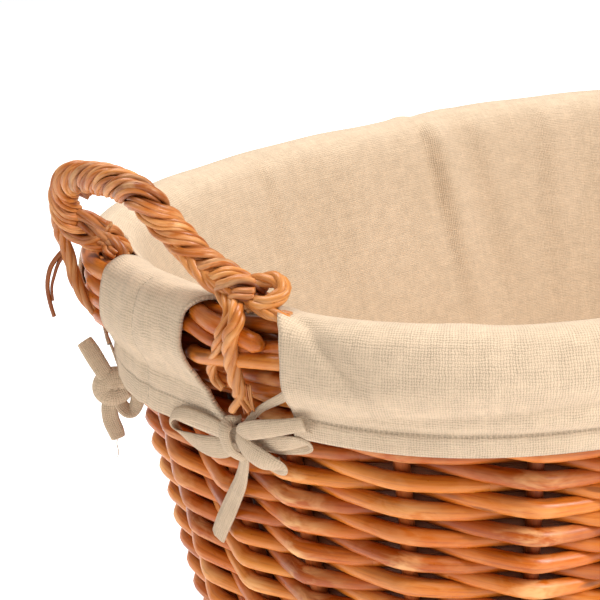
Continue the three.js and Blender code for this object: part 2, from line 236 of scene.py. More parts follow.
    def make(self, name, mats, smooth_shade=True, face_mat=None):
        me = bpy.data.meshes.new(name)
        V = np.vstack(self.v) * MM
        me.from_pydata(V.tolist(), [], self.f)
        for key, data, kind in (("rc", np.vstack(self.rc) * MM, "FLOAT_VECTOR"), ("rnd", np.concatenate(self.rnd), "FLOAT"),
                                ("wear", np.concatenate(self.wear), "FLOAT"), ("painted_shade", np.concatenate(self.painted_shade), "FLOAT")):
            a = me.attributes.new(key, kind, "POINT")
            a.data.foreach_set("vector" if kind == "FLOAT_VECTOR" else "value", data.astype(np.float32).ravel())
        me.validate()
        o = bpy.data.objects.new(name, me)
        bpy.context.scene.collection.objects.link(o)
        for m in mats:
            me.materials.append(m)
        me.shade_smooth() if smooth_shade else None
        return o


# ---------------------------------------------------------------- materials
def srgb(*c):
    c = np.array(c, float) / 255.0
    return tuple(np.where(c <= 0.04045, c / 12.92, ((c + 0.055) / 1.055) ** 2.4)) + (1.0,)


class Nodes:
    def __init__(self, name):
        self.m = bpy.data.materials.new(name)
        self.m.use_nodes = True
        self.t = self.m.node_tree
        self.bsdf = self.t.nodes["Principled BSDF"]

    def n(self, kind, **kw):
        node = self.t.nodes.new(kind)
        for k, v in kw.items():
            setattr(node, k, v)
        return node

    def link(self, a, b):
        self.t.links.new(a, b)

    def attr(self, name):
        return self.n("ShaderNodeAttribute", attribute_name=name)

    def math(self, op, a, b=0.0, c=None, clamp=False):
        m = self.n("ShaderNodeMath", operation=op, use_clamp=clamp)
        for i, x in enumerate((a, b, c)):
            if x is None:
                continue
            if isinstance(x, (int, float)):
                m.inputs[i].default_value = x
            else:
                self.link(x, m.inputs[i])
        return m.outputs[0]

    def vec(self, op, a, b=None, scale=None):
        m = self.n("ShaderNodeVectorMath", operation=op)
        for i, x in enumerate((a, b)):
            if x is None:
                continue
            if isinstance(x, (tuple, list)):
                m.inputs[i].default_value = x
            else:
                self.link(x, m.inputs[i])
        return m.outputs[0]

    def noise(self, vector, scale, detail=3.0, rough=0.5, dist=0.0):
        m = self.n("ShaderNodeTexNoise")
        m.inputs["Scale"].default_value = scale
        m.inputs["Detail"].default_value = detail
        m.inputs["Roughness"].default_value = rough
        m.inputs["Distortion"].default_value = dist
        if vector is not None:
            self.link(vector, m.inputs["Vector"])
        return m.outputs["Fac"]

    def ramp(self, fac, stops):
        m = self.n("ShaderNodeValToRGB")
        e = m.color_ramp.elements
        e[0].position, e[0].color = stops[0][0], stops[0][1]
        e[1].position, e[1].color = stops[1][0], stops[1][1]
        for p, c in stops[2:]:
            x = e.new(p)
            x.color = c
        self.link(fac, m.inputs["Fac"])
        return m.outputs["Color"]

    def mix(self, fac, a, b, mode="MIX"):
        m = self.n("ShaderNodeMix", data_type="RGBA", blend_type=mode)
        m.clamp_factor = True
        if isinstance(fac, (int, float)):
            m.inputs[0].default_value = fac
        else:
            self.link(fac, m.inputs[0])
        for sock, x in ((m.inputs[6], a), (m.inputs[7], b)):
            if isinstance(x, tuple):
                sock.default_value = x
            else:
                self.link(x, sock)
        return m.outputs[2]

    def maprange(self, v, a, b, c=0.0, d=1.0):
        m = self.n("ShaderNodeMapRange")
        m.inputs[1].default_value, m.inputs[2].default_value = a, b
        m.inputs[3].default_value, m.inputs[4].default_value = c, d
        self.link(v, m.inputs[0])
        return m.outputs[0]


def willow(name, light, mid, deep, wear_col, rough=0.42, coat=0.25, ridge=0.25, spots=True, wear_gain=1.0):
    """Stained willow: streaks along the rod, slow colour drift, knots, worn bends, and painted shade darkening the
    depths.
    """
    N = Nodes(name)
    rc, rnd, wear, painted_shade = N.attr("rc"), N.attr("rnd"), N.attr("wear"), N.attr("painted_shade")
    p = rc.outputs["Vector"]
    streak = N.noise(N.vec("MULTIPLY", p, (28.0, 900.0, 900.0)), 1.0, 4.0, 0.6)
    drift = N.noise(N.vec("MULTIPLY", p, (16.0, 60.0, 60.0)), 1.0, 2.0, 0.5)
    blotch = N.noise(N.vec("MULTIPLY", p, (70.0, 160.0, 160.0)), 1.0, 3.0, 0.55, 0.6)
    key = N.math("ADD", N.math("MULTIPLY", rnd.outputs["Fac"], 0.42), N.math("ADD", N.math("MULTIPLY", drift, 0.55), N.math("MULTIPLY", streak, 0.28)))
    base = N.ramp(N.maprange(key, 0.30, 0.95), [(0.0, deep), (1.0, light), (0.45, mid), (0.72, tuple(0.5 * (a + b) for a, b in zip(mid, light)))])
    # fine dark grain
    grain = N.maprange(streak, 0.36, 0.50)
    base = N.mix(N.math("MULTIPLY", N.math("SUBTRACT", 1.0, grain), 0.30), base, deep)
    # pale, slightly pink places where the bark skin is rubbed off, most at the bends
    w = N.math("MULTIPLY", N.math("ADD", N.math("MULTIPLY", wear.outputs["Fac"], 0.75 * wear_gain), 0.10), N.maprange(blotch, 0.42, 0.66))
    base = N.mix(N.math("MINIMUM", w, 0.85), base, wear_col)
    if spots:
        v = N.n("ShaderNodeTexVoronoi", feature="F1")
        v.inputs["Scale"].default_value = 1.0
        v.inputs["Randomness"].default_value = 1.0
        N.link(N.vec("MULTIPLY", p, (24.0, 120.0, 120.0)), v.inputs["Vector"])
        knot = N.maprange(v.outputs["Distance"], 0.10, 0.19, 1.0, 0.0)
        base = N.mix(N.math("MULTIPLY", knot, 0.55), base, srgb(70, 30, 10))
    # painted shade in the depths: the per-vertex shade amount darkens the colour towards a deep red-brown
    base = N.mix(N.math("MULTIPLY", painted_shade.outputs["Fac"], 0.85), base, N.mix(0.45, deep, srgb(74, 20, 0)), "MIX")
    N.link(base, N.bsdf.inputs["Base Color"])
    r = N.math("ADD", N.maprange(blotch, 0.3, 0.7, rough - 0.06, rough + 0.12), N.math("MULTIPLY", w, 0.25))
    N.link(r, N.bsdf.inputs["Roughness"])
    N.bsdf.inputs["Coat Weight"].default_value = coat
    N.bsdf.inputs["Coat Roughness"].default_value = 0.28
    N.bsdf.inputs["Specular IOR Level"].default_value = 0.32
    bump = N.n("ShaderNodeBump")
    bump.inputs["Strength"].default_value = ridge
    bump.inputs["Distance"].default_value = 0.0007
    h = N.math("ADD", N.math("MULTIPLY", streak, 0.7), N.math("ADD", N.math("MULTIPLY", blotch, 0.6), N.math("MULTIPLY", w, 0.5)))
    N.link(h, bump.inputs["Height"])
    N.link(bump.outputs["Normal"], N.bsdf.inputs["Normal"])
    return N.m


def linen(name, warm, cool, thread=1.15, strength=0.6, contrast=0.34, lines=()):
    """Plain weave: warp and weft threads with slubs, in cloth coordinates (metres in attribute rc).
    lines: stitch lines as (axis, where, slope, dash, from, to) in mm."""
    N = Nodes(name)
    rc = N.attr("rc")
    p = rc.outputs["Vector"]
    k = 2 * math.pi / (thread * MM)
    wob = N.n("ShaderNodeTexNoise")
    wob.inputs["Scale"].default_value = 210.0
    wob.inputs["Detail"].default_value = 3.0
    N.link(p, wob.inputs["Vector"])
    off = N.vec("MULTIPLY", N.vec("SUBTRACT", wob.outputs["Color"], (0.5, 0.5, 0.5)), (0.0016, 0.0016, 0.0))
    q = N.vec("ADD", p, off)
    sep = N.n("ShaderNodeSeparateXYZ")
    N.link(q, sep.inputs[0])
    sx, sy = N.math("SINE", N.math("MULTIPLY", sep.outputs[0], k / 2)), N.math("SINE", N.math("MULTIPLY", sep.outputs[1], k / 2))
    ax, ay = N.math("ABSOLUTE", sx), N.math("ABSOLUTE", sy)
    over = N.maprange(N.math("MULTIPLY", sx, sy), -0.35, 0.35)
    hgt = N.math("ADD", N.math("MULTIPLY", over, ax), N.math("MULTIPLY", N.math("SUBTRACT", 1.0, over), ay))
    holes = N.math("MULTIPLY", N.math("SUBTRACT", 1.0, ax), N.math("SUBTRACT", 1.0, ay))
    slub_w = N.noise(N.vec("MULTIPLY", p, (780.0, 38.0, 1.0)), 1.0, 3.0, 0.55)
    slub_f = N.noise(N.vec("MULTIPLY", p, (38.0, 780.0, 1.0)), 1.0, 3.0, 0.55)
    slub = N.math("ADD", N.math("MULTIPLY", N.maprange(slub_w, 0.38, 0.66), 0.45), N.math("MULTIPLY", N.maprange(slub_f, 0.38, 0.66), 0.55))
    tone = N.noise(N.vec("MULTIPLY", p, (11.0, 9.0, 9.0)), 1.0, 4.0, 0.6)
    mott = N.noise(N.vec("MULTIPLY", p, (120.0, 120.0, 120.0)), 1.0, 4.0, 0.7)
    fine = N.noise(N.vec("MULTIPLY", p, (520.0, 520.0, 520.0)), 1.0, 2.0, 0.6)
    c = N.mix(N.maprange(tone, 0.3, 0.7), warm, cool)
    c = N.mix(N.math("MULTIPLY", slub, 0.50), c, tuple(min(1.0, x * 1.20) for x in warm[:3]) + (1.0,))
    c = N.mix(N.math("MULTIPLY", N.maprange(mott, 0.40, 0.64), 0.10), c, tuple(x * 0.70 for x in cool[:3]) + (1.0,))
    c = N.mix(N.math("MULTIPLY", N.maprange(fine, 0.50, 0.66), 0.15), c, tuple(x * 0.62 for x in cool[:3]) + (1.0,))
    # painted shade: the valleys of the weave and the holes between threads are darkened
    weave_shade = N.math("ADD", N.math("MULTIPLY", N.math("SUBTRACT", 1.0, hgt), contrast), N.math("MULTIPLY", holes, contrast * 1.6))
    weave_shade = N.math("MULTIPLY", weave_shade, N.maprange(mott, 0.34, 0.60, 0.35, 1.25))
    c = N.mix(N.math("MINIMUM", weave_shade, 0.9), c, tuple(x * 0.52 for x in warm[:3]) + (1.0,))
    raw = N.n("ShaderNodeSeparateXYZ")
    N.link(p, raw.inputs[0])
    groove = None
    for axis, where, slope, dash, lo, hi in lines:
        u, w = (raw.outputs[1], raw.outputs[0]) if axis == "v" else (raw.outputs[0], raw.outputs[1])
        d = N.math("ABSOLUTE", N.math("SUBTRACT", N.math("SUBTRACT", u, N.math("MULTIPLY", w, slope)), where * MM))
        on = N.maprange(d, 0.0006, 0.0003)
        stitch = N.maprange(N.math("SINE", N.math("MULTIPLY", w, 2 * math.pi / (dash * MM))), -0.5, 0.1)
        on = N.math("MULTIPLY", on, N.math("ADD", N.math("MULTIPLY", stitch, 0.75), 0.25))
        if lo is not None:
            on = N.math("MULTIPLY", on, N.math("MULTIPLY", N.math("GREATER_THAN", w, lo * MM), N.math("LESS_THAN", w, hi * MM)))
        groove = on if groove is None else N.math("MAXIMUM", groove, on)
    # painted shade: the stitch grooves are darkened
    if groove is not None:
        c = N.mix(N.math("MULTIPLY", groove, 0.34), c, tuple(x * 0.38 for x in cool[:3]) + (1.0,))
    N.link(c, N.bsdf.inputs["Base Color"])
    N.bsdf.inputs["Roughness"].default_value = 0.94
    N.bsdf.inputs["Specular IOR Level"].default_value = 0.16
    N.bsdf.inputs["Sheen Weight"].default_value = 0.12
    N.bsdf.inputs["Sheen Roughness"].default_value = 0.5
    bump = N.n("ShaderNodeBump")
    bump.inputs["Strength"].default_value = strength
    bump.inputs["Distance"].default_value = 0.0005
    h = N.math("ADD", hgt, N.math("ADD", N.math("MULTIPLY", slub, 0.6), N.math("MULTIPLY", mott, 0.8)))
    if groove is not None:
        h = N.math("SUBTRACT", h, N.math("MULTIPLY", groove, 1.6))
    N.link(h, bump.inputs["Height"])
    N.link(bump.outputs["Normal"], N.bsdf.inputs["Normal"])
    return N.m


M_ROD = willow("willow_rods", srgb(224, 140, 50), srgb(200, 102, 20), srgb(146, 60, 4), srgb(250, 194, 130), rough=0.33, coat=0.10)
M_STAKE = willow("willow_stakes", srgb(186, 98, 38), srgb(160, 74, 22), srgb(104, 40, 6), srgb(206, 140, 86), rough=0.45, coat=0.06)
M_ROPE = willow("willow_rope", srgb(216, 144, 72), srgb(182, 100, 34), srgb(110, 46, 6), srgb(244, 196, 138), rough=0.34, coat=0.12, ridge=0.5, spots=False)

# ---------------------------------------------------------------- stakes
soup = Soup()
for k in range(STAKES):
    s = at_stake(k)
    z = np.linspace(15, 224, 16)
    wob = 0.5 * np.sin(z * 0.035 + k * 1.7)
    soup.tube(wall(s + wob, line(z) + 0.3 * np.sin(z * 0.05 + k), z), 4.0 - 0.3 * (z / 224), 12, painted_shade=0.22)
stakes = soup.make("stakes", [M_STAKE])

# ---------------------------------------------------------------- randed wall weave
ROW = 14.5            # height of one front row
ROW_Z0 = HEIGHT - 74.9
R_ROD = 4.15
KNUCKLE = 0.985


def level(u):
    """Rise against the plain spiral: the rods run level past the stakes under the left handle's near leg."""
    turns = np.floor((np.asarray(u, float) - 0.5) / STAKES)
    x = np.asarray(u, float) - turns * STAKES
    return ROW * (turns + np.clip((x - 14) / 2, 0, 1) - 1)


def weave_off(u, depth):
    c = np.clip(KNUCKLE * np.cos(np.pi * u), -1, 1)
    return depth * np.arcsin(c) / math.asin(KNUCKLE)


def deep(s, z, reach=9.0):
    """Painted shade for a rod's vertices, from how far in they lie behind the wall's face."""
    def f(v):
        x, y, nx, ny = rim(s)
        d = (v[..., 0] - x[:, None]) * nx[:, None] + (v[..., 1] - y[:, None]) * ny[:, None] - line(v[..., 2])
        return smooth((4.6 - d) / reach) * 0.95
    return f


def randing(z_low, z_top, name):
    soup = Soup()
    for m in range(STAKES - 2):
        # front of stake u where w = u - m is even; one full pass of the helix from the top to the foot
        w = np.arange(-60, 70, 1 / 12)
        z = ROW_Z0 + level(w + m) - ROW * w / 2
        w = w[(z > z_low - 2) & (z < z_top + 2)]
        a, b = w[0], w[-1]
        rnd0 = RNG.random()
        cuts = [a]
        while cuts[-1] < b - 0.01:
            nxt = math.ceil(cuts[-1]) + int(RNG.integers(5, 10))
            nxt += 1 - nxt % 2
            cuts.append(b if b - nxt < 4 else nxt)
        for c0, c1 in zip(cuts[:-1], cuts[1:]):
            lo, hi = (c0 - 0.35 if c0 > a else a), (c1 + 0.35 if c1 < b else b)
            w = np.linspace(lo, hi, int((hi - lo) * 14) + 2)
            u = w + m
            jit = 0.5 * np.sin(1.9 * w + m * 2.3) + 0.3 * np.sin(4.1 * w + m)
            depth = 6.9
            o = weave_off(w, depth) + 0.35 * np.sin(2.3 * w + m * 1.3)
            zz = np.clip(ROW_Z0 + level(u) - ROW * w / 2 + jit, z_low - 1, z_top + 1)
            front = np.exp(-((np.mod(w + 1, 2) - 1) / 0.22) ** 2)
            r = R_ROD * (0.97 + 0.08 * front) * (1.04 - 0.09 * (w - c0) / max(c1 - c0, 1)) * (1 + 0.05 * (RNG.random() - 0.5))
            s = at_stake(u)
            P = wall(s, line(zz) + o, zz)
            x, y, nx, ny = rim(s)
            up = np.stack([nx, ny, np.zeros_like(nx)], -1)
            # the bark is rubbed on some bends, most under the near leg
            spot = np.where(np.abs(np.mod(np.round(u), STAKES) - 15) < 0.5, 1.0, 0.25 + 0.5 * ((np.sin(7.7 * np.round(w) + 3.1 * m) + 1) / 2) ** 3)
            wear = front * spot
            soup.tube(P, r, 12, rnd=float(np.clip(rnd0 + 0.5 * (RNG.random() - 0.5), 0, 1)), wear=wear, painted_shade=deep(s, zz), up=up)
    return soup.make(name, [M_ROD])


wall_weave = randing(37.5, 203.0, "wall_weave")


def waling(z_mid, turns, r, name, rods=3, depth=6.6, phase=0.0, soup=None, off=0.0, lean=True, length=2):
    """Waling round the whole oval: each rod passes in front of two stakes and behind one."""
    own = soup is None
    soup = soup or Soup()
    n = STAKES * 12
    for t in range(turns):
        zc = z_mid + t * (2.55 * r)
        for j in range(rods):
            u = np.linspace(0, STAKES, n + 1)
            p = np.mod(u + j + phase + t * 0.5, 3.0)
            q = np.where(p > 1.5, p - 3.0, p)          # -1.5..1.5, 0 = behind the stake
            aq = np.abs(q)
            o = depth * (1 - 2 * np.exp(-(aq / 0.62) ** 2.4))
            rise = np.where(p > 0.5, (p - 0.5) / 2.0, 0) if False else (p - 1.5) / 3.0
            # rises over the two front stakes, drops back behind
            h = 1.25 * r * np.where((p >= 0.45) & (p <= 2.55), (p - 1.5) / 1.05, np.where(p < 0.45, -p / 0.45, (3.0 - p) / 0.45))
            z = zc + h
            s = at_stake(u)
            P = wall(s, line(z) + off + o, z)
            x, y, nx, ny = rim(s)
            up = np.stack([nx, ny, np.zeros_like(nx)], -1)
            # broken into rods of a few stakes, so the colour changes along the wale
            c = 0
            while c < n:
                e = min(n, c + 12 * int(RNG.integers(4, 9)))
                if n - e < 24:
                    e = n
                sl = slice(max(c - 1, 0), e + 1)
                soup.tube(P[sl], r * (1 + 0.05 * np.sin(u[sl] * 2.1 + j)), 10, up=up[sl], wear=0.3 * np.exp(-((p[sl] - 1.5) / 0.7) ** 2), painted_shade=deep(s[sl], z[sl]))
                c = e
    return soup.make(name, [M_ROD]) if own else soup


top_wale = waling(208.5, 2, 3.2, "top_wale_weave", depth=7.2)
upsett = waling(17.5, 2, 3.4, "upsett_wale_weave", depth=7.2, phase=1.0)


# ---------------------------------------------------------------- rolled border and foot
def rolled(name, z_c, o_c, rad_o, rad_z, r, span, spin, count, soup=None, sides=10, start=0.0, r_end=0.8):
    """Rods laid along the edge one after the other, each winding round the ones before it."""
    soup = Soup()
    for k in range(count):
        s0 = STAKE_PHASE + PER * k / count + 2.0 * (RNG.random() - 0.5)
        t = np.linspace(0, 1, 40)
        s = s0 + span * t
        ang = start + spin * t
        ro = rad_o * (1 - 0.10 * np.sin(np.pi * t))
        o = o_c + ro * np.cos(ang)
        z = z_c + rad_z * np.sin(ang)
        x, y, nx, ny = rim(s)
        up = np.stack([nx, ny, np.zeros_like(nx)], -1)
        rr = r * (1.06 - (1.06 - r_end) * t) * np.minimum(1, 0.55 + 8 * t) * (1 + 0.06 * (RNG.random() - 0.5))
        # painted shade: vertices near the roll's centre, under the rods wound over them, are darkened
        def sunk(v, s=s, z_c=z_c, o_c=o_c, rad=max(rad_o, rad_z)):
            x, y, nx, ny = rim(s)
            d = (v[..., 0] - x[:, None]) * nx[:, None] + (v[..., 1] - y[:, None]) * ny[:, None] - o_c
            e = np.hypot(d, v[..., 2] - z_c)
            return smooth((rad + 2.4 - e) / 5.0) * 0.9

        soup.tube(wall(s, o, z), rr, sides, up=up, wear=0.25 * np.sin(np.pi * t) ** 2, painted_shade=sunk)
    return soup.make(name, [M_ROD])


top_border = rolled("top_border_weave", 236.0, -1.0, 5.6, 6.6, 4.1, PITCH_S * 3.2, 2 * math.pi * 1.0, STAKES, start=-math.pi * 0.75)
foot = rolled("foot_border_weave", 6.1, -51.5, 7.2, 2.6, 3.4, PITCH_S * 3.0, 2 * math.pi, STAKES, start=-math.pi * 0.5)

# painted shade: a dark inner layer of flat rods behind the stakes, standing in for the shadow seen through the gaps of
# the weave
soup = Soup()
M_INNER_SHADE = willow("willow_inner_painted_shade", srgb(120, 62, 22), srgb(100, 46, 12), srgb(64, 24, 3), srgb(132, 76, 36), rough=0.6, coat=0.0)
for k in range(14):
    z_ = 15.6 + 14.2 * k
    s_ = np.linspace(0, PER, 260)
    P_ = wall(s_, line(z_) - 5.2, z_)
    soup.ribbon(P_, np.tile([0.0, 0.0, 1.0], (260, 1)), np.full(260, 14.6), 1.2, 0.3 + 0.03 * k, crown=0.0)
inner_shade_rods = soup.make("wall_inner_shade_rods", [M_INNER_SHADE])

# border rods that end beside the handles, one of them narrowing to its end
soup = Soup()
for turn in (0.0, HALF_TURN):
    for pts, r_, rn, wr in (([(850, 3.5, 242.0), (860, 7.0, 241.6), (871, 8.8, 240.6), (883, 9.2, 239.2), (890, 9.0, 237.6), (895, 8.6, 236.4)], 4.3, 0.62, 0.12),
                            ([(844, 3.0, 221.0), (856, 7.0, 222.8), (871, 8.8, 226.0), (886, 8.4, 228.4), (900, 7.4, 229.8), (912, 5.0, 230.5)], 3.7, 0.93, 0.30),
                            ([(840, 4.5, 236.0), (852, 7.2, 236.0), (866, 8.0, 233.6), (882, 6.4, 233.2), (896, 3.0, 233.5)], 3.9, 0.30, 0.0),
                            ([(716, 4.0, 243.0), (732, 8.0, 243.0), (750, 9.0, 242.0), (768, 8.0, 242.5), (786, 4.0, 243.0)], 4.6, 0.55, 0.0),
                            ([(716, 4.0, 233.0), (732, 7.0, 233.5), (750, 8.6, 234.0), (768, 8.0, 233.0), (786, 4.0, 233.0)], 4.6, 0.75, 0.1),
                            ([(716, 4.0, 225.0), (732, 7.6, 224.5), (750, 8.0, 224.0), (768, 7.0, 225.0), (786, 4.0, 225.0)], 4.4, 0.35, 0.0),
                            ([(716, 3.0, 216.0), (732, 6.0, 215.5), (750, 7.0, 215.0), (768, 6.0, 216.0), (786, 3.0, 216.0)], 4.4, 0.65, 0.0)):
        q = spline(np.array(pts, float), 40)
        soup.tube(turned(wall(q[:, 0], q[:, 1], q[:, 2]), turn), np.where(np.arange(40) > 36, r_ * (1 - 0.16 * (np.arange(40) - 36)), r_) if rn == 0.62 else r_, 12, rnd=rn, wear=wr, painted_shade=0.22)
cut_rods = soup.make("border_rod_ends", [M_ROD])

# ---------------------------------------------------------------- base: woven on crossing sticks
soup = Soup()
for i in range(20):
    d = 66.0 + 6.7 * i
    a_, b_ = RIM_A - d, RIM_B - d
    if b_ < 12:
        break
    th = np.linspace(0, 2 * np.pi, 181)[:-1]
    x = a_ * np.sign(np.cos(th)) * np.abs(np.cos(th)) ** (2 / RIM_N)
    y = b_ * np.sign(np.sin(th)) * np.abs(np.sin(th)) ** (2 / RIM_N)
    th2 = np.arctan2(y, x)
    z = 18.3 + 2.6 * np.cos(7 * th2 + np.pi * i)
    P = np.stack([x, y, z], 1)
    P = np.vstack([P, P[:2]])
    soup.tube(P, 3.1, 8, painted_shade=0.25)
for y0 in (-34, 0, 34):
    L = 232 if y0 == 0 else 230
    soup.tube(np.stack([np.linspace(-L, L, 40), np.full(40, y0), np.full(40, 16.6)], 1), 3.4, 10, painted_shade=0.3)
for x0 in (-126, -42, 42, 126):
    L = 141 if abs(x0) < 100 else 130
    soup.tube(np.stack([np.full(30, x0), np.linspace(-L, L, 30), np.full(30, 20.0)], 1), 3.2, 10, painted_shade=0.3)
base = soup.make("base_weave", [M_ROD])

# ---------------------------------------------------------------- roped handles
S_FAR, S_LEG, S_NEAR = left_arc(84.5), left_arc(-39.0), left_arc(-44.0)


def handle_axis():
    arch = [[-285.8, 84, 253], [-292, 86, 255.5], [-299, 87.5, 260], [-304.5, 88, 266], [-308, 87, 273.5], [-311, 81.5, 283], [-314, 70, 291.5], [-316, 53, 296],
            [-319, 29.2, 298.7], [-320.2, 13.9, 298.3], [-319.4, -1, 294.9], [-311.8, -7.2, 282.3], [-304.2, -16, 269.4], [-300.2, -24.2, 262.1], [-298.9, -36, 258.4], [-298.2, -44, 256.6], [-297, -49, 254.0]]
    return spline([wall(S_FAR, line(244), 244), *arch], 260)


AX = handle_axis()


def frames(path):
    T = np.gradient(path, axis=0)
    T /= np.linalg.norm(T, axis=1)[:, None]
    N = np.zeros_like(T)
    a = np.array([-1.0, 0, 0]) - T[0] * -T[0][0]
    N[0] = a / np.linalg.norm(a)
    for i in range(1, len(path)):
        a = N[i - 1] - N[i - 1].dot(T[i]) * T[i]
        N[i] = a / np.linalg.norm(a)
    return T, N, np.cross(T, N)


def make_handle(side, ang, seed):
    rng = np.random.default_rng(seed)
    soup = Soup()
    T, N, B = frames(AX)
    L = np.r_[0, np.cumsum(np.linalg.norm(np.diff(AX, axis=0), axis=1))]
    n = len(AX)
    # painted shade: the rope's core, seen only between the strands, is drawn dark
    soup.tube(turned(AX, ang), 3.2, 10, painted_shade=0.8)
    lay, strands = 37.0, 4
    axis = turned(AX, ang)

    # painted shade: reed faces close to the rope's axis, in the grooves between strands, are darkened
    def grooves(v):
        d = np.linalg.norm(v - axis[:, None, :], axis=2)
        return smooth((7.3 - d) / 2.6) * 0.95

    for k in range(strands):
        rnd_s = rng.random()
        wob = 0.10 * np.sin(L * 0.05 + k * 2.0) + 0.07 * np.sin(L * 0.11 + k)
        a = 2 * np.pi * (k / strands) - 2 * np.pi * L / lay + wob
        swell = 1 + 0.05 * np.sin(L * 0.19 + 3 * k) + 0.04 * np.sin(L * 0.067 + 5 * k)
        C = AX + (4.55 * swell)[:, None] * (np.cos(a)[:, None] * N + np.sin(a)[:, None] * B)
        Tc = np.gradient(C, axis=0)
        Tc /= np.linalg.norm(Tc, axis=1)[:, None]
        out = C - AX
        out -= (out * Tc).sum(1)[:, None] * Tc
        out /= np.linalg.norm(out, axis=1)[:, None]
        side = np.cross(Tc, out)
        reeds = 6
        Lc = np.r_[0, np.cumsum(np.linalg.norm(np.diff(C, axis=0), axis=1))]
        for i in range(reeds):
            b = 2 * np.pi * i / reeds + 2 * np.pi * Lc / 70.0 + 0.35 * rng.random() + 0.25 * np.sin(Lc * 0.09 + 2 * i)
            rr = (1.25 + 0.35 * rng.random()) * (1 + 0.06 * np.sin(Lc * 0.17 + i))
            P = C + 2.05 * (np.cos(b)[:, None] * out + np.sin(b)[:, None] * side)
            soup.tube(turned(P, ang), rr, 8, rnd=float(np.clip(rnd_s * 0.5 + 0.5 * rng.random(), 0, 1)),
                      wear=0.45 * np.clip(np.cos(b), 0, 1), painted_shade=grooves, up=turned(out, ang))
    return soup, T, N, B


def bundle(soup, ctrl, ang, r, reeds=3, twist=0.0, spread=1.0, rnd=None, taper=0.0, ends=None, n=50, rng=None, painted_shade=0.05):
    """A strand of a few thin reeds laid side by side along a route (mm)."""
    rng = rng or RNG
    c = spline(ctrl, n)
    T, N, B = frames(c)
    L = np.r_[0, np.cumsum(np.linalg.norm(np.diff(c, axis=0), axis=1))]
    rnd0 = rng.random() if rnd is None else rnd
    for i in range(reeds):
        a = 2 * np.pi * i / reeds + twist * L
        rad = (r * 0.60 * spread) * (1 - taper * L / L[-1])
        P = c + rad[:, None] * (np.cos(a)[:, None] * N + np.sin(a)[:, None] * B)
        m = n if ends is None else max(6, int(n * ends[i % len(ends)]))
        rr = r * 0.62 * (1 - 0.5 * taper * L / L[-1])
        soup.tube(turned(P[:m], ang), rr[:m], 8, rnd=float(np.clip(rnd0 + 0.25 * (rng.random() - 0.5), 0, 1)), painted_shade=painted_shade, wear=0.25)


def W(s, o, z):
    return [float(x) for x in wall(s, o, z)]


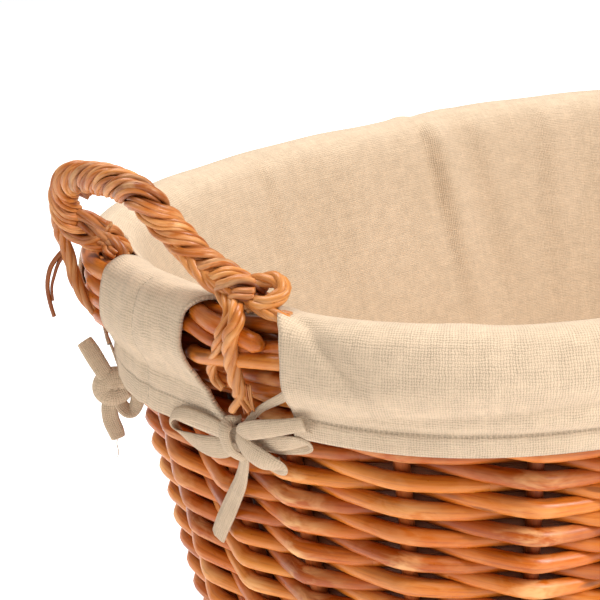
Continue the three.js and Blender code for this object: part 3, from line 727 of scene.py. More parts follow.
for side, ang, seed in (("left", 0.0, 5), ("right", math.pi, 6)):
    soup, T, N, B = make_handle(side, ang, seed)
    rng = np.random.default_rng(seed + 50)
    # near root: strands fan out over the border, one curls back on itself
    T, N, B = frames(AX)
    bundle(soup, [AX[-60] + 4 * N[-60], AX[-25] + 5 * N[-25], [-293, -50, 262], [-290.5, -57, 262.5], [-291.5, -61, 258.5], [-297, -60, 255.5], [-300.5, -55, 254.0], [-299, -49, 253.0]], ang, 3.1, 4, 0.16, rng=rng)
    bundle(soup, [AX[-40] + [-4, 0, -2], AX[-12] + [-4, 0, -1], [-300, -53, 252.5], [-299.5, -60, 251.0], [-297, -66, 250.0], [-295, -69.5, 249.3]], ang, 2.6, 4, 0.14, rng=rng)
    bundle(soup, [AX[-30] + [3, 0, -2], [-293, -47, 254.5], [-289, -50, 249], [-285.5, -50, 241]], ang, 2.7, 3, 0.14, rng=rng)
    # far root, drawn a little darker with painted shade
    rootf = AX[np.argmin(np.abs(AX[:, 2] - 262) + 1000 * (AX[:, 1] < 0))]
    bundle(soup, [AX[40] + [-1, -5, 1], AX[22] + [1, -6, 1], [-289.5, 78, 255], [-286.5, 75.5, 251], [-285, 74.5, 246]], ang, 2.8, 4, 0.14, rng=rng, painted_shade=0.15)
    bundle(soup, [AX[26] + [-4, -2, 0], AX[12] + [-5, -4, 0], [-291.5, 77.5, 250.5], [-288.5, 75.5, 248]], ang, 2.5, 3, 0.14, rng=rng, painted_shade=0.15)
    # stubby ends inside the far leg, darkened with painted shade
    i = int(np.argmin(np.linalg.norm(AX - np.array([-311.0, 81.5, 283.0]), axis=1)))
    bundle(soup, [AX[i] + [0, -2, 5], AX[i] + [3, -8, 3], AX[i] + [6, -13.5, 0.5]], ang, 2.8, 4, 0.10, n=16, rng=rng, painted_shade=0.35)
    i2 = int(np.argmin(np.linalg.norm(AX - np.array([-305.0, 88.0, 267.0]), axis=1)))
    bundle(soup, [AX[i2] + [-1, -3, 4], AX[i2] + [4, -10, 2], AX[i2] + [8, -17, -1.5], AX[i2] + [9.5, -20, -2.5]], ang, 2.7, 4, 0.10, n=20, rng=rng, painted_shade=0.35)
    rope = soup.make(f"handle_{side}_rope_twist", [M_ROPE])
    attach(rope, "root")
    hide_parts(f"handle_{side}_rope", f"handle_{side}_bow")
    # near tails
    soup = Soup()
    bundle(soup, [AX[-34] + [-1, -1, -5], W(S_NEAR - 3, 9.5, 250.5), W(S_NEAR - 2, 12.5, 246), W(S_NEAR - 4, 14.5, 240), W(S_NEAR - 11, 11, 229), W(S_NEAR - 18, 7.5, 221), W(S_NEAR - 21, 4.5, 213), W(S_NEAR - 16, 3.0, 209)], ang, 2.5, 3, 0.20, rng=rng, taper=0.25)
    bundle(soup, [AX[-18] + [-1, 0, -5], W(S_NEAR + 2, 10, 251), W(S_NEAR + 4, 13, 246.5), W(S_NEAR + 2, 15, 240), W(S_NEAR - 1, 12, 229), W(S_NEAR - 2, 8.8, 218), W(S_NEAR - 2, 6.5, 211), W(S_NEAR - 6, 5.4, 201)], ang, 3.1, 4, 0.18, rng=rng, ends=(1.0, 0.86, 0.94, 0.9))
    bundle(soup, [W(S_NEAR - 2, 8.0, 217), W(S_NEAR - 0.5, 6.6, 209), W(S_NEAR + 3, 5.4, 203.5)], ang, 2.0, 3, 0.0, n=18, rng=rng)
    for q in range(7):
        s_, z_ = S_NEAR - 3 + 1.3 * q, 209 + 2 * rng.random()
        soup.tube(turned(spline([W(s_, 7.0, z_ + 6), W(s_ + 0.6 * (rng.random() - 0.5), 6.4, z_), W(s_ + 3 * (rng.random() - 0.3), 5.4, z_ - 6 - 3 * rng.random())], 10), ang), 0.55, 6, rnd=rng.random(), painted_shade=0.15)
    near = soup.make(f"handle_{side}_tails_near", [M_ROPE])
    # far tails: the long strand down the outside of the leg, and the thin forked tip, both darkened with painted shade
    i3 = int(np.argmin(np.linalg.norm(AX - np.array([-306.5, 87.5, 270.0]), axis=1)))
    soup = Soup()
    st = AX[i3] + 5.0 * np.array([-0.7, 0.7, 0.0])
    bundle(soup, [st, [-308, 95, 261], [-304.5, 97.6, 254], [-301.5, 98.2, 243], [-300.2, 96.4, 232], [-297.4, 93.4, 223], [-293.4, 89.2, 215.5], [-289.4, 85.2, 212]], ang, 2.9, 4, 0.13, rng=rng, n=60, painted_shade=0.32)
    soup.tube(turned(spline([[-302, 99, 250], [-306, 102, 245.5], [-309.5, 105, 239], [-311.2, 106.4, 230], [-310.8, 106, 221], [-309.6, 105.2, 213.5]], 30), ang), np.linspace(1.3, 1.15, 30), 8, rnd=0.15, painted_shade=0.55)
    soup.tube(turned(spline([[-303, 99.5, 247], [-306, 102, 242], [-308, 103.6, 236], [-309.6, 105, 229], [-309.6, 105, 222]], 26), ang), np.linspace(1.1, 0.7, 26), 8, rnd=0.2, painted_shade=0.5)
    far = soup.make(f"handle_{side}_tails_far", [M_ROPE])
    for o, nm in ((near, "near"), (far, "far")):
        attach(o, "root")
        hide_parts(f"handle_{side}_tail_{nm}")

# ---------------------------------------------------------------- liner
HALF = PER / 2


def cut_edges():
    """The four cut-outs as pairs (edge before, edge after), each a function of depth below the fold (mm)."""
    d = np.array([-30, 0, 3, 12, 25, 35, 43, 52, 58, 64])
    near_a = np.array([862, 859, 855.5, 849.0, 848, 849.5, 853, 862, 872, 880.])   # tab's edge
    near_b = np.array([894, 895, 900, 906, 907, 907, 907, 906.5, 906, 906.])        # front cuff's edge
    far_a = np.array([724, 723, 722, 722, 723, 724, 727, 731, 737, 742.])           # rear cuff's edge
    far_b = np.array([772, 773, 775, 777, 776, 772.5, 768, 764, 763, 766.])           # tab's edge
    near = (lambda x: np.interp(x, d, near_a), lambda x: np.interp(x, d, near_b))
    far = (lambda x: np.interp(x, d, far_a), lambda x: np.interp(x, d, far_b))
    turn = lambda f: (lambda x: np.mod(f(x) + HALF, PER))
    return [far, near, (turn(far[0]), turn(far[1])), (turn(near[0]), turn(near[1]))]


CUTS = cut_edges()
# profile across the rim: (offset, height) from the wall's inside foot over the border to the hem
inner = [(line(27) - WALL_HALF - 1.6, 27.0), (line(120) - WALL_HALF - 1.6, 120.0), (line(205) - WALL_HALF - 1.6, 205.0), (line(226) - WALL_HALF - 1.2, 226.0)]
over = [(-17.8, 236.5), (-14.2, 243.0), (-9.0, 247.6), (-4.5, 249.3), (0.0, 249.9), (4.5, 249.0), (8.8, 246.2), (11.0, 241.5), (12.0, 235.0), (11.6, 227.0), (9.6, 218.0)]
outer = [(5.6, 208.0), (1.9, 200.0), (0.6, 195.0), (0.4, 191.0), (0.5, 186.0), (0.2, 178.0)]
prof = np.array(inner + over + outer, float)
dense_prof = spline(np.c_[prof, np.zeros(len(prof))], 1200)[:, :2]
lp = np.r_[0, np.cumsum(np.linalg.norm(np.diff(dense_prof, axis=0), axis=1))]
i_top = int(np.argmax(dense_prof[:, 1]))
v_top = lp[i_top]
v_end = v_top + 64.0
rows_v = np.r_[np.linspace(0, v_top - 34, 52)[:-1], np.linspace(v_top - 34, v_top + 16, 34)[:-1], np.linspace(v_top + 16, v_end, 34)]
V_CUT = v_top - 14.0            # the cut-outs start here, just inside the rim
COLS = 560
HEM = 54.0
M_LINEN = linen("liner_linen", srgb(218, 193, 164), srgb(207, 182, 152),
                lines=(("v", v_top + HEM, 0.0, 2.2, None, None), ("s", 815.5 + 0.204 * v_top, -0.204, 2.9, v_top + 3, v_top + 60), ("s", 815.5 + HALF + 0.204 * v_top, -0.204, 2.9, v_top + 3, v_top + 60)))
M_TIE = linen("tie_tape", srgb(208, 183, 154), srgb(197, 172, 142), thread=1.0, strength=0.6, contrast=0.30)
base_s = PER * np.arange(COLS) / COLS
# snap columns to the cut edges at the rim
edge_cols = []
for a, b in CUTS:
    for f in (a, b):
        s_ = float(f(0.0))
        j = int(round(s_ / PER * COLS)) % COLS
        edge_cols.append(j)


def cloth_cols(dv):
    """Arc length of each column at distance dv past the top of the fold."""
    s = base_s.copy()
    targets = []
    for (a, b), (ja, jb) in zip(CUTS, zip(edge_cols[::2], edge_cols[1::2])):
        targets += [(ja, float(a(dv))), (jb, float(b(dv)))]
    shift = np.zeros(COLS)
    js = np.array([t[0] for t in targets])
    ds = np.array([(t[1] - base_s[t[0]] + PER / 2) % PER - PER / 2 for t in targets])
    order = np.argsort(js)
    js, ds = js[order], ds[order]
    reach = 14
    for c in range(COLS):
        # distance to the edge before and after
        k = np.searchsorted(js, c, side="right") - 1
        j0, d0 = js[k], ds[k]
        j1, d1 = js[(k + 1) % len(js)], ds[(k + 1) % len(js)]
        gap = (j1 - j0) % COLS or COLS
        x = (c - j0) % COLS
        w0 = max(0.0, 1 - x / min(reach, gap / 2 if gap > reach else gap)) if gap > 2 * reach else 1 - x / gap
        w1 = max(0.0, 1 - (gap - x) / min(reach, gap)) if gap > 2 * reach else x / gap
        shift[c] = d0 * w0 + d1 * w1
    return s + shift


INSIDE_FOLDS = [(384, 5.5, 3.0, -0.10), (371, 9.0, -6.0, -0.10), (346, 11, 2.4, -0.16), (330, 12, -2.6, -0.16), (262, 12, -3.2, 0.05), (276, 9, 1.8, 0.05), (531.7, 6, 1.6, 0.03), (522, 9, -2.6, 0.03), (455, 16, -2.0, 0.0),
                (610, 10, -3.0, 0.06), (150, 9, 2.0, 0.0), (138, 11, -3.0, 0.0), (60, 9, -3.0, 0.04), (980, 12, -3.0, 0.0), (1100, 12, -3.5, 0.06), (1240, 8, -3.0, 0.0), (1252, 8, 1.8, 0.0), (1390, 12, -3.4, -0.04), (1520, 9, -3.0, 0.0), (1640, 9, -2.6, 0.0)]


def tabness(s):
    """1 on the two end tabs, 0 on the long cuffs."""
    m = np.mod(s, HALF)
    m = np.where(m < 200, m + HALF, m)
    return smooth((m - 752) / 8) * smooth((884 - m) / 8)


def liner_point(s, v):
    """Point of the cloth's middle at arc length s and profile length v (arrays of one shape)."""
    so = np.mod(s, PER)
    tab = tabness(so)
    d0 = v - v_top
    # the tabs hang a little lower than the cuffs, with rounded lower corners
    drop = 1 + 0.19 * tab + 0.012 * np.sin(2 * np.pi * so / PER * 9)
    mm = np.mod(so, HALF)
    mm = np.where(mm < 200, mm + HALF, mm)
    corner = 0.07 * tab * (1 - smooth((mm - 764) / 14))
    d = np.where(d0 > 0, d0 * (drop - corner * smooth(d0 / 64)), d0)
    vv = v_top + d
    o = np.interp(vv, lp, dense_prof[:, 0])
    z = np.interp(vv, lp, dense_prof[:, 1])
    o1, z1 = np.interp(vv + 0.5, lp, dense_prof[:, 0]), np.interp(vv + 0.5, lp, dense_prof[:, 1])
    o0, z0 = np.interp(vv - 0.5, lp, dense_prof[:, 0]), np.interp(vv - 0.5, lp, dense_prof[:, 1])
    to, tz = o1 - o0, z1 - z0
    l = np.hypot(to, tz) + 1e-9
    no, nz = -tz / l, to / l            # toward the cloth's free side
    # inside the wall
    t = np.clip(v / v_top, 0, 1)
    fold = np.zeros_like(so)
    for s0, wdt, amp, lean in INSIDE_FOLDS:
        dd = (so - s0 - lean * (v_top - v) + PER / 2) % PER - PER / 2
        w_ = wdt * (1 + 0.9 * (1 - t))
        fold = fold - amp * np.exp(-(dd / w_) ** 2) * smooth((t - 0.10) / 0.75) * (1 - 0.85 * smooth((d0 + 26) / 24))
    broad = 1.1 * np.sin(2 * np.pi * so / PER * 9 + 1.0) + 0.7 * np.sin(2 * np.pi * so / PER * 17 + 2.0 + 0.01 * v) + 0.4 * np.sin(2 * np.pi * so / PER * 31 + v * 0.03)
    ins = fold + (2.4 + broad) * np.clip(np.sin(np.pi * np.clip(v / (v_top - 6), 0, 1)), 0, 1)
    ins = np.where(ins < 0, -0.9 * (1 - np.exp(ins / 0.9)), ins)
    # outside: the cloth bulges, falls into a crease that rises along the cuff, bulges again and flares at the hem
    front = so
    rise = smooth((front - 905) / 160)
    dc = np.where(tab > 0.5, 47 + 2.0 * np.sin(so * 0.05), np.where((so > 880) & (so < 1600), 48.5 - 13.5 * rise + 2.5 * np.sin((so - 905) * 0.012) * rise, 42 + 4 * np.sin(so * 0.021)))
    second = np.where((so > 880) & (so < 1600), smooth((so - 955) / 70), 0.6) * (1 - tab)
    amp = np.where(tab > 0.5, 0.5, 1.0)
    x = d - dc
    bulge = 3.0 * np.exp(-((x + 14) / 10.5) ** 2) * (1 + 0.25 * np.sin(so * 0.033)) - 1.0 * np.exp(-(x / 3.4) ** 2)
    bulge = bulge + second * 2.1 * np.exp(-((d - (dc + 0.52 * (HEM - dc))) / 4.6) ** 2) - 0.9 * np.exp(-((d - (HEM - 1.0)) / 2.2) ** 2)
    flare = 1.5 * smooth((d - HEM) / 8) + 0.8 * smooth((d - HEM) / 1.6)
    out = amp * bulge + flare
    # a dip that runs down from the near corner of the front cuff, and a puff beside it
    for s0, sg in ((905.0, 1.0), (905.0 + HALF, 1.0)):
        dd = (so - s0 + PER / 2) % PER - PER / 2
        along = np.clip((dd * sg - 6) / 26, 0, 1)
        line_d = 2 + 26 * along
        dist = np.hypot((dd - np.clip(dd, 6, 32)) * 1.0, d - line_d)
        out = out - 2.2 * np.exp(-(dist / 5.5) ** 2)
        out = out + 2.0 * np.exp(-((dd - 0) / 7) ** 2 - ((d - 6) / 13) ** 2)
    # the tab's seam and its slight billow
    for s0 in (815.5, 815.5 + HALF):
        dd = (so - s0 + 0.204 * d + PER / 2) % PER - PER / 2
        out = out + tab * (-0.7 * np.exp(-(dd / 2.2) ** 2) + 0.9 * np.exp(-((dd + 7) / 6) ** 2) + 0.9 * np.exp(-((dd - 8) / 7) ** 2))
    lift = np.exp(-((d - 2) / 16) ** 2) * (0.35 * np.sin(2 * np.pi * so / PER * 11 + 0.7) + 0.25 * np.sin(2 * np.pi * so / PER * 23))
    for s0, a_, wdt in PUFFS:
        dd = (so - s0 + PER / 2) % PER - PER / 2
        lift = lift + a_ * np.exp(-(dd / wdt) ** 2) * np.exp(-((d - 3) / 12) ** 2)
    k_ = smooth((d + 8) / 10)
    push = np.where(v < v_top, ins * (1 - k_), 0) + np.where(d > 0, out * smooth(d / 6), 0) + lift * 0.9 * smooth((d + 20) / 16)
    x_, y_, nx, ny = rim(so)
    oo, zz = o + no * push, z + nz * push
    return np.stack([x_ + nx * oo, y_ + ny * oo, np.minimum(zz, 252.4)], -1)


PUFFS = [(899, 1.7, 6), (899 + HALF, 1.5, 7), (848, 0.6, 8), (722, 1.2, 8), (722 + HALF, 1.2, 8), (384, 1.0, 7), (346, 0.8, 9), (372, -0.9, 6)]


def make_liner():
    grid = []
    S, Vv = np.zeros((len(rows_v), COLS)), np.zeros((len(rows_v), COLS))
    for i, v in enumerate(rows_v):
        dv = v - v_top
        f = smooth((v - (V_CUT - 20)) / 20)
        s_full = cloth_cols(dv)
        s_base = base_s
        sh = (s_full - s_base)
        S[i] = s_base + sh * f
        Vv[i] = v
    # lower corners of the cuffs and tabs are rounded: rows near the hem rise beside the cut-outs
    P = liner_point(S.ravel(), Vv.ravel()).reshape(len(rows_v), COLS, 3)
    # edges of the cut-outs curl outward a little, and the hem hangs softly
    dead = np.zeros((len(rows_v) - 1, COLS), bool)
    for (a, b), (ja, jb) in zip(CUTS, zip(edge_cols[::2], edge_cols[1::2])):
        n = (jb - ja) % COLS
        for q in range(n):
            dead[:, (ja + q) % COLS] |= (rows_v[:-1] >= V_CUT - 0.1)
    verts = P.reshape(-1, 3)
    faces = []
    R = len(rows_v)
    for i in range(R - 1):
        for j in range(COLS):
            if dead[i, j]:
                continue
            k = (j + 1) % COLS
            faces.append((i * COLS + j, i * COLS + k, (i + 1) * COLS + k, (i + 1) * COLS + j))
    used = np.zeros(len(verts), bool)
    used[np.unique(np.array(faces))] = True
    remap = -np.ones(len(verts), int)
    remap[used] = np.arange(used.sum())
    faces = [tuple(remap[list(f)]) for f in faces]
    rc = np.stack([S.ravel(), Vv.ravel(), np.zeros(S.size)], -1)[used]
    # the seam of the coordinates at s = 0 falls on the right end, where the jump is a whole number of threads
    me = bpy.data.meshes.new("liner_cloth")
    me.from_pydata((verts[used] * MM).tolist(), [], [tuple(int(x) for x in f) for f in faces])
    a = me.attributes.new("rc", "FLOAT_VECTOR", "POINT")
    a.data.foreach_set("vector", (rc * MM).astype(np.float32).ravel())
    a = me.attributes.new("rnd", "FLOAT", "POINT")
    a.data.foreach_set("value", np.zeros(len(rc), np.float32))
    o = bpy.data.objects.new("liner_cloth", me)
    bpy.context.scene.collection.objects.link(o)
    me.materials.append(M_LINEN)
    me.shade_smooth()
    area = sum(p.area for p in me.polygons)
    # cut edges and the hem are turned under, so they're thicker
    g = o.vertex_groups.new(name="turned")
    dist = np.full((len(rows_v), COLS), 9.0)
    for (a_, b_), (ja, jb) in zip(CUTS, zip(edge_cols[::2], edge_cols[1::2])):
        for q in range(3):
            dist[rows_v >= V_CUT - 2, (ja - q) % COLS] = q
            dist[rows_v >= V_CUT - 2, (jb + q) % COLS] = q
    wt = np.where(dist < 1, 1.0, np.where(dist < 3, 0.75, 0.5))
    wt = np.maximum(wt, np.where(Vv - v_top > HEM, 0.85, 0.5))
    wt = wt.ravel()[used]
    for val in (0.5, 0.75, 0.85, 1.0):
        g.add([int(i) for i in np.nonzero(np.isclose(wt, val))[0]], val, "REPLACE")
    m = o.modifiers.new("thick", "SOLIDIFY")
    m.thickness = 0.0021
    m.offset = 0.0
    m.vertex_group = "turned"
    return o, area


liner, liner_area = make_liner()

# liner base
n_r, n_a = 26, 160
th = np.linspace(0, 2 * np.pi, n_a, endpoint=False)
bv, brc = [], []
off_b = line(27) - WALL_HALF - 1.8
sb = PER * np.arange(n_a) / n_a
edge = wall(sb, off_b, 27.4)
for i in range(1, n_r + 1):
    f = i / n_r
    p = edge * [f, f, 1]
    p[:, 2] = 27.2 + 0.5 * np.sin(p[:, 0] * 0.05) * np.sin(p[:, 1] * 0.07) + 0.5
    bv.append(p)
bv = np.vstack([[[0, 0, 27.6]], *bv])
bf = [(0, 1 + (j + 1) % n_a, 1 + j)[::-1] for j in range(n_a)]
for i in range(n_r - 1):
    for j in range(n_a):
        k = (j + 1) % n_a
        a, b = 1 + i * n_a, 1 + (i + 1) * n_a
        bf.append((a + j, b + j, b + k, a + k))
me = bpy.data.meshes.new("liner_base_cloth")
me.from_pydata((bv * MM).tolist(), [], bf)
at = me.attributes.new("rc", "FLOAT_VECTOR", "POINT")
at.data.foreach_set("vector", (bv * MM).astype(np.float32).ravel())
at = me.attributes.new("rnd", "FLOAT", "POINT")
me.materials.append(M_LINEN)
me.shade_smooth()
base_cloth = bpy.data.objects.new("liner_base_cloth", me)
bpy.context.scene.collection.objects.link(base_cloth)
m = base_cloth.modifiers.new("thick", "SOLIDIFY")
m.thickness = 0.0010
m.offset = 0.0

# ---------------------------------------------------------------- tied bows
def lift_of(z):
    return float(line(z) + WALL_HALF)


def surf(list_sdz):
    """(s, height above the rods, z) -> points."""
    return [W(s, lift_of(z) + h, z) for s, h, z in list_sdz]


def normals(points):
    """Outward wall normal at each point, for ribbons that lie flat on the wall."""
    pts = np.asarray(points)
    out = []
    s = np.linspace(0, PER, 2401)[:-1]
    x, y, nx, ny = rim(s)
    for p in pts:
        i = np.argmin((x - p[0]) ** 2 + (y - p[1]) ** 2)
        out.append([nx[i], ny[i], -TAPER])
    out = np.array(out)
    return out / np.linalg.norm(out, axis=1)[:, None]


def lay(soup, ctrl, widths, thick=1.5, tilt=None, rnd=0.5, crown=0.6, n=40, fold=None, ang=0.0):
    """A tape through ctrl points (mm). Flat on the wall where tilt is 0, on edge where it is 90 degrees."""
    c = spline(np.c_[np.asarray(ctrl, float), np.asarray(widths, float), np.zeros(len(ctrl)) if tilt is None else np.asarray(tilt, float)], n)
    path, w, tl = c[:, :3], c[:, 3], np.radians(c[:, 4])
    T = np.gradient(path, axis=0)
    T /= np.linalg.norm(T, axis=1)[:, None]
    nrm = normals(path)
    side = np.cross(nrm, T)
    side /= np.linalg.norm(side, axis=1)[:, None] + 1e-9
    nn = np.cross(T, side)
    side = side * np.cos(tl)[:, None] + nn * np.sin(tl)[:, None]
    return soup.ribbon(turned(path, ang), turned(side, ang), w, thick, rnd, crown=crown, fold=fold)


def near_bow(ang, rnd):
    soup, area = Soup(), 0.0
    Z = HEIGHT
    # left loop: out along the top, round its open end, and back underneath
    area += lay(soup, surf([(872, 6.0, Z - 64), (862, 8.5, Z - 60.5), (850, 10.2, Z - 59.0), (838, 10.8, Z - 60.2), (828, 10.2, Z - 64), (821.5, 8.6, Z - 69.5), (820.5, 6.6, Z - 74.5), (827, 5.2, Z - 78.5), (838, 4.8, Z - 79.0), (850, 4.8, Z - 76.5), (861, 5.2, Z - 72), (873, 5.4, Z - 66)]),
                [5, 6.2, 6.8, 6.8, 6.2, 6.2, 7.5, 10.5, 13.0, 13.0, 10.5, 6], tilt=[0, 6, 14, 24, 42, 58, 44, 16, 4, 0, 0, 0], rnd=rnd, crown=1.3, n=90, ang=ang)
    # the tab's corner folded into the knot behind the loop
    area += lay(soup, surf([(846, 4.2, Z - 61), (854, 4.6, Z - 63), (862, 5.0, Z - 65), (872, 5.2, Z - 66)]), [15, 14, 11, 7], rnd=rnd + 0.6, crown=0.5, n=26, ang=ang)
    # right end, frayed
    area += lay(soup, surf([(873, 7.5, Z - 62.5), (880, 10.4, Z - 57.5), (889, 11.4, Z - 53.5), (898, 11.2, Z - 50.5), (906, 10.6, Z - 48.0), (914, 9.6, Z - 45.5)]), [6.5, 9.8, 10.6, 9.6, 8.4, 8.0], rnd=rnd + 0.1, crown=1.3, n=44, ang=ang)
    for q in range(9):
        s_, z_ = 912.5 + 1.2 * RNG.random(), Z - 45.8 + (q - 4) * 0.9
        soup.tube(turned(spline(surf([(s_ - 2, 9.9, z_), (s_ + 0.6, 10.0, z_ + 0.2), (s_ + 2.2 + RNG.random(), 10.2, z_ + 0.9 * (RNG.random() - 0.3)), (s_ + 3.4 + RNG.random(), 9.9, z_ + 1.8 * (RNG.random() - 0.4))]), 9), ang), 0.28, 5, rnd=0.9)
    # right loop underneath
    area += lay(soup, surf([(873, 4, Z - 65), (886, 5.6, Z - 63.5), (898, 6.4, Z - 60.0), (908, 6.4, Z - 57), (912, 4.8, Z - 58.5), (904, 3.4, Z - 62.0), (890, 2.8, Z - 65.5), (876, 3, Z - 67)]), [6, 9, 9.5, 8, 7, 8, 8, 6], tilt=[0, 0, 8, 26, 36, 10, 0, 0], rnd=rnd + 0.2, crown=0.9, n=54, ang=ang)
    # knot: a band wrapped over, and the fat lobe that comes out below it
    area += lay(soup, surf([(870, 2.6, Z - 56), (868.5, 8.4, Z - 56.5), (868, 11.6, Z - 60), (868.6, 12.4, Z - 65.5), (870, 11.4, Z - 70.5), (872.5, 8.0, Z - 74), (874.5, 4.5, Z - 75)]), [6.5, 7.5, 8.2, 8.4, 8.0, 7.2, 6], rnd=rnd + 0.3, crown=1.7, n=40, ang=ang)
    area += lay(soup, surf([(872.5, 8.5, Z - 62), (879, 10.6, Z - 65.5), (886, 10.4, Z - 69), (891.5, 8.6, Z - 71.5), (894, 5.2, Z - 73.5), (888, 3.4, Z - 75.5), (878, 4.0, Z - 73)]), [8, 12.5, 14, 12.5, 10, 9, 7], tilt=[0, 0, 0, 8, 20, 10, 0], rnd=rnd + 0.4, crown=1.6, n=46, ang=ang)
    # the tape sewn to the cuff's edge
    area += lay(soup, surf([(873, 5, Z - 62), (879, 5.6, Z - 54), (886, 5.0, Z - 47), (894, 5.2, Z - 41.5), (902, 6.6, Z - 36.5), (909, 8.6, Z - 31)]), [4.2, 4.0, 4.2, 5.0, 5.2, 5.0], tilt=[0, 15, 30, 24, 10, 0], rnd=rnd + 0.5, crown=0.6, n=36, ang=ang)
    # long tail hanging down the weave
    area += lay(soup, surf([(873, 6.5, Z - 68), (873.5, 8.0, Z - 73), (869.5, 6.8, Z - 81), (862, 4.8, Z - 91.5), (852.5, 3.7, Z - 103), (842.5, 3.1, Z - 115), (833.5, 2.9, Z - 126), (826, 2.9, Z - 136)]), [5.5, 6.2, 8.0, 9.6, 10.4, 10.8, 10.8, 10.4], tilt=[0, 0, 10, 8, 4, 0, 0, 0], rnd=rnd + 0.7, crown=0.7, n=64,
                fold=lambda x: 1.0 * np.exp(-((x + 0.30) / 0.15) ** 2), ang=ang)
    return soup, area


def lay_out(soup, ctrl, widths, rnd, crown=0.8, n=40, ang=0.0, twist=0.0, thick=1.6):
    """A tape whose broad side faces along the basket's end, so it stands off the wall."""
    c = spline(np.c_[np.asarray(ctrl, float), np.asarray(widths, float)], n)
    path, w = c[:, :3], c[:, 3]
    T = np.gradient(path, axis=0)
    T /= np.linalg.norm(T, axis=1)[:, None]
    face = np.array([-0.60, -0.72, 0.35])
    side = np.cross(np.broadcast_to(face, T.shape), T)
    side /= np.linalg.norm(side, axis=1)[:, None] + 1e-9
    tw = np.radians(np.linspace(0, twist, n))
    side = side * np.cos(tw)[:, None] + np.cross(T, side) * np.sin(tw)[:, None]
    return soup.ribbon(turned(path, ang), turned(side, ang), w, thick, rnd, crown=crown)


def far_bow(ang, rnd):
    soup, area = Soup(), 0.0
    H = HEIGHT
    area += lay_out(soup, [[-289.5, 78.5, H - 70], [-294.5, 82.6, H - 67.5], [-297.6, 85.4, H - 60.5], [-300.2, 87.7, H - 53.5], [-302.6, 89.8, H - 47.5]], [6.5, 9.0, 9.8, 10.0, 9.0], rnd, ang=ang, twist=12)
    area += lay_out(soup, [[-286, 76.5, H - 69.5], [-291, 80.4, H - 68.5], [-295.2, 83.4, H - 71.0], [-295.2, 83.4, H - 75.5], [-291, 80.4, H - 77.0], [-286.5, 77.0, H - 75]], [9, 13, 15, 15, 13, 9], rnd + 0.2, crown=2.2, ang=ang)
    area += lay_out(soup, [[-292.5, 81.4, H - 76], [-294.8, 83.2, H - 83], [-294.6, 83, H - 91], [-293, 81.8, H - 97.5], [-292.2, 81.0, H - 102]], [7.5, 8.6, 9.4, 9.2, 8.0], rnd + 0.3, ang=ang, twist=-14)
    area += lay_out(soup, [[-291, 80, H - 72], [-287.5, 77.2, H - 70.5], [-284.0, 74.2, H - 74.0], [-283.4, 73.6, H - 80.5], [-285.8, 75.6, H - 87.0], [-289.0, 78.2, H - 85.5], [-291.5, 80.3, H - 79.0]], [7, 9.5, 9.5, 9, 8.5, 8.5, 7], rnd + 0.4, crown=1.2, n=50, ang=ang, twist=35)
    area += lay(soup, surf([(757, 5.0, H - 70), (750, 5.4, H - 66), (742, 5.4, H - 60), (735, 6, H - 54)]), [7, 7, 6.5, 7], rnd=rnd + 0.5, crown=0.5, n=20, ang=ang)
    area += lay(soup, surf([(758, 5.0, H - 70), (763, 5.4, H - 67), (769, 5.8, H - 63), (775, 6.4, H - 58)]), [8, 9, 10, 11], rnd=rnd + 0.6, crown=0.5, n=20, ang=ang)
    # a loose thread
    soup.tube(turned(spline([[-292.4, 81.2, H - 101], [-293.0, 81.8, H - 105], [-292.6, 81.4, H - 109], [-293.2, 81.8, H - 112.5]], 16), ang), 0.25, 6)
    return soup, area


for side, ang, q in (("left", 0.0, 0.1), ("right", math.pi, 0.35)):
    for nm, fn in (("near", near_bow), ("far", far_bow)):
        soup, area = fn(ang, q)
        o = soup.make(f"tie_{side}_{nm}", [M_TIE])
        sub = o.modifiers.new("sub", "SUBSURF")
        sub.levels = sub.render_levels = 1
        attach(o, "root")
        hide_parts(f"tie_bow_{side}_{nm}")

# ---------------------------------------------------------------- ride and replace
for o, nodes, slot in (
    (stakes, [f"stake_{k + 1:02d}" for k in range(STAKES)], "willow_stakes"),
    (wall_weave, ["wall_randing"], "willow_weave"),
    (top_wale, ["top_wale"], "willow_weave"),
    (upsett, ["upsett_wale"], "willow_weave"),
    (top_border, ["top_border"], "willow_weave"),
    (cut_rods, [], "willow_weave"),
    (inner_shade_rods, [], "willow_weave"),
    (foot, ["foot_border"], "willow_weave"),
    (base, ["base_panel"] + [f"base_stick_long_{i}" for i in (1, 2, 3)] + [f"base_stick_short_{i}" for i in (1, 2, 3, 4)], "willow_weave"),
    (liner, ["liner_wall_panel", "liner_cuff_front", "liner_cuff_rear", "liner_tab_left", "liner_tab_right"], "liner_linen"),
    (base_cloth, ["liner_base_panel"], "liner_linen"),
):
    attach(o, "root")
    if nodes:
        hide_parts(*nodes)

# ---------------------------------------------------------------- stage, light and camera
floor_me = bpy.data.meshes.new("floor")
floor_me.from_pydata([(-6, -6, 0), (6, -6, 0), (6, 6, 0), (-6, 6, 0)], [], [(0, 1, 2, 3)])
floor = bpy.data.objects.new("floor", floor_me)
bpy.context.scene.collection.objects.link(floor)
F = Nodes("floor_paper")
F.bsdf.inputs["Base Color"].default_value = (0.90, 0.90, 0.90, 1)
F.bsdf.inputs["Roughness"].default_value = 0.9
F.bsdf.inputs["Emission Color"].default_value = (1, 1, 1, 1)
F.bsdf.inputs["Emission Strength"].default_value = 0.50
floor_me.materials.append(F.m)


def area_light(name, loc, target, size, power, color=(1, 1, 1)):
    ld = bpy.data.lights.new(name, "AREA")
    ld.shape = "RECTANGLE"
    ld.size, ld.size_y = size
    ld.energy = power
    ld.color = color
    o = bpy.data.objects.new(name, ld)
    o.location = loc
    o.rotation_mode = "QUATERNION"
    o.rotation_quaternion = (Vector(target) - Vector(loc)).to_track_quat("-Z", "Y")
    bpy.context.scene.collection.objects.link(o)
    return o


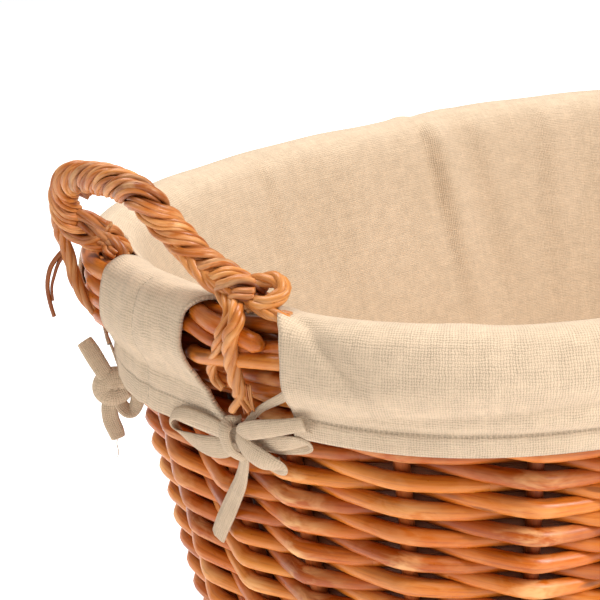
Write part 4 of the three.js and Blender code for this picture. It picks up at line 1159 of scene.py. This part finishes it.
area_light("key", (0.72, -2.0, 1.88), (0, 0, 0.15), (0.9, 0.9), 79, (1.0, 0.99, 0.98))
area_light("fill", (-2.4, -1.0, 1.1), (0, 0, 0.15), (1.4, 1.4), 2)
area_light("top", (-0.3, 0.9, 2.3), (0, 0, 0.1), (1.3, 1.3), 44)
world = bpy.data.worlds.new("studio")
world.use_nodes = True
world.node_tree.nodes["Background"].inputs[0].default_value = (1, 1, 1, 1)
world.node_tree.nodes["Background"].inputs[1].default_value = 0.40
# the sky seen by the camera is plain white, as the floor is
wt = world.node_tree
sky, path, mixer = wt.nodes.new("ShaderNodeBackground"), wt.nodes.new("ShaderNodeLightPath"), wt.nodes.new("ShaderNodeMixShader")
sky.inputs[0].default_value, sky.inputs[1].default_value = (1, 1, 1, 1), 1.0
wt.links.new(path.outputs["Is Camera Ray"], mixer.inputs[0])
wt.links.new(wt.nodes["Background"].outputs[0], mixer.inputs[1])
wt.links.new(sky.outputs[0], mixer.inputs[2])
wt.links.new(mixer.outputs[0], next(n for n in wt.nodes if n.type == "OUTPUT_WORLD").inputs["Surface"])

bpy.context.scene.world = world
bpy.context.scene.view_settings.view_transform = "Standard"

CAM = dict(x=-671.313260, y=-540.116633, z=202.402011 + HEIGHT, yaw=0.699156096, pitch=-0.293105378, roll=-0.0373014405, f=1496.05358, cx=323.520648, cy=269.589053)
cam = bpy.data.cameras.new("camera")
co = bpy.data.objects.new("camera", cam)
bpy.context.scene.collection.objects.link(co)
yaw, pitch, roll = CAM["yaw"], CAM["pitch"], CAM["roll"]
f_ = np.array([math.sin(yaw) * math.cos(pitch), math.cos(yaw) * math.cos(pitch), math.sin(pitch)])
r_ = np.array([math.cos(yaw), -math.sin(yaw), 0.0])
u_ = np.cross(r_, f_)
r2 = math.cos(roll) * r_ + math.sin(roll) * u_
u2 = -math.sin(roll) * r_ + math.cos(roll) * u_
mw = Matrix.Identity(4)
for i in range(3):
    mw[i][0], mw[i][1], mw[i][2] = r2[i], u2[i], -f_[i]
mw[0][3], mw[1][3], mw[2][3] = CAM["x"] * MM, CAM["y"] * MM, CAM["z"] * MM
co.matrix_world = mw
cam.sensor_width = 36.0
cam.lens = CAM["f"] * 36.0 / 600.0
cam.shift_x = 0.5 - CAM["cx"] / 600.0
cam.shift_y = CAM["cy"] / 600.0 - 0.5
cam.clip_start, cam.clip_end = 0.05, 50
bpy.context.scene.camera = co
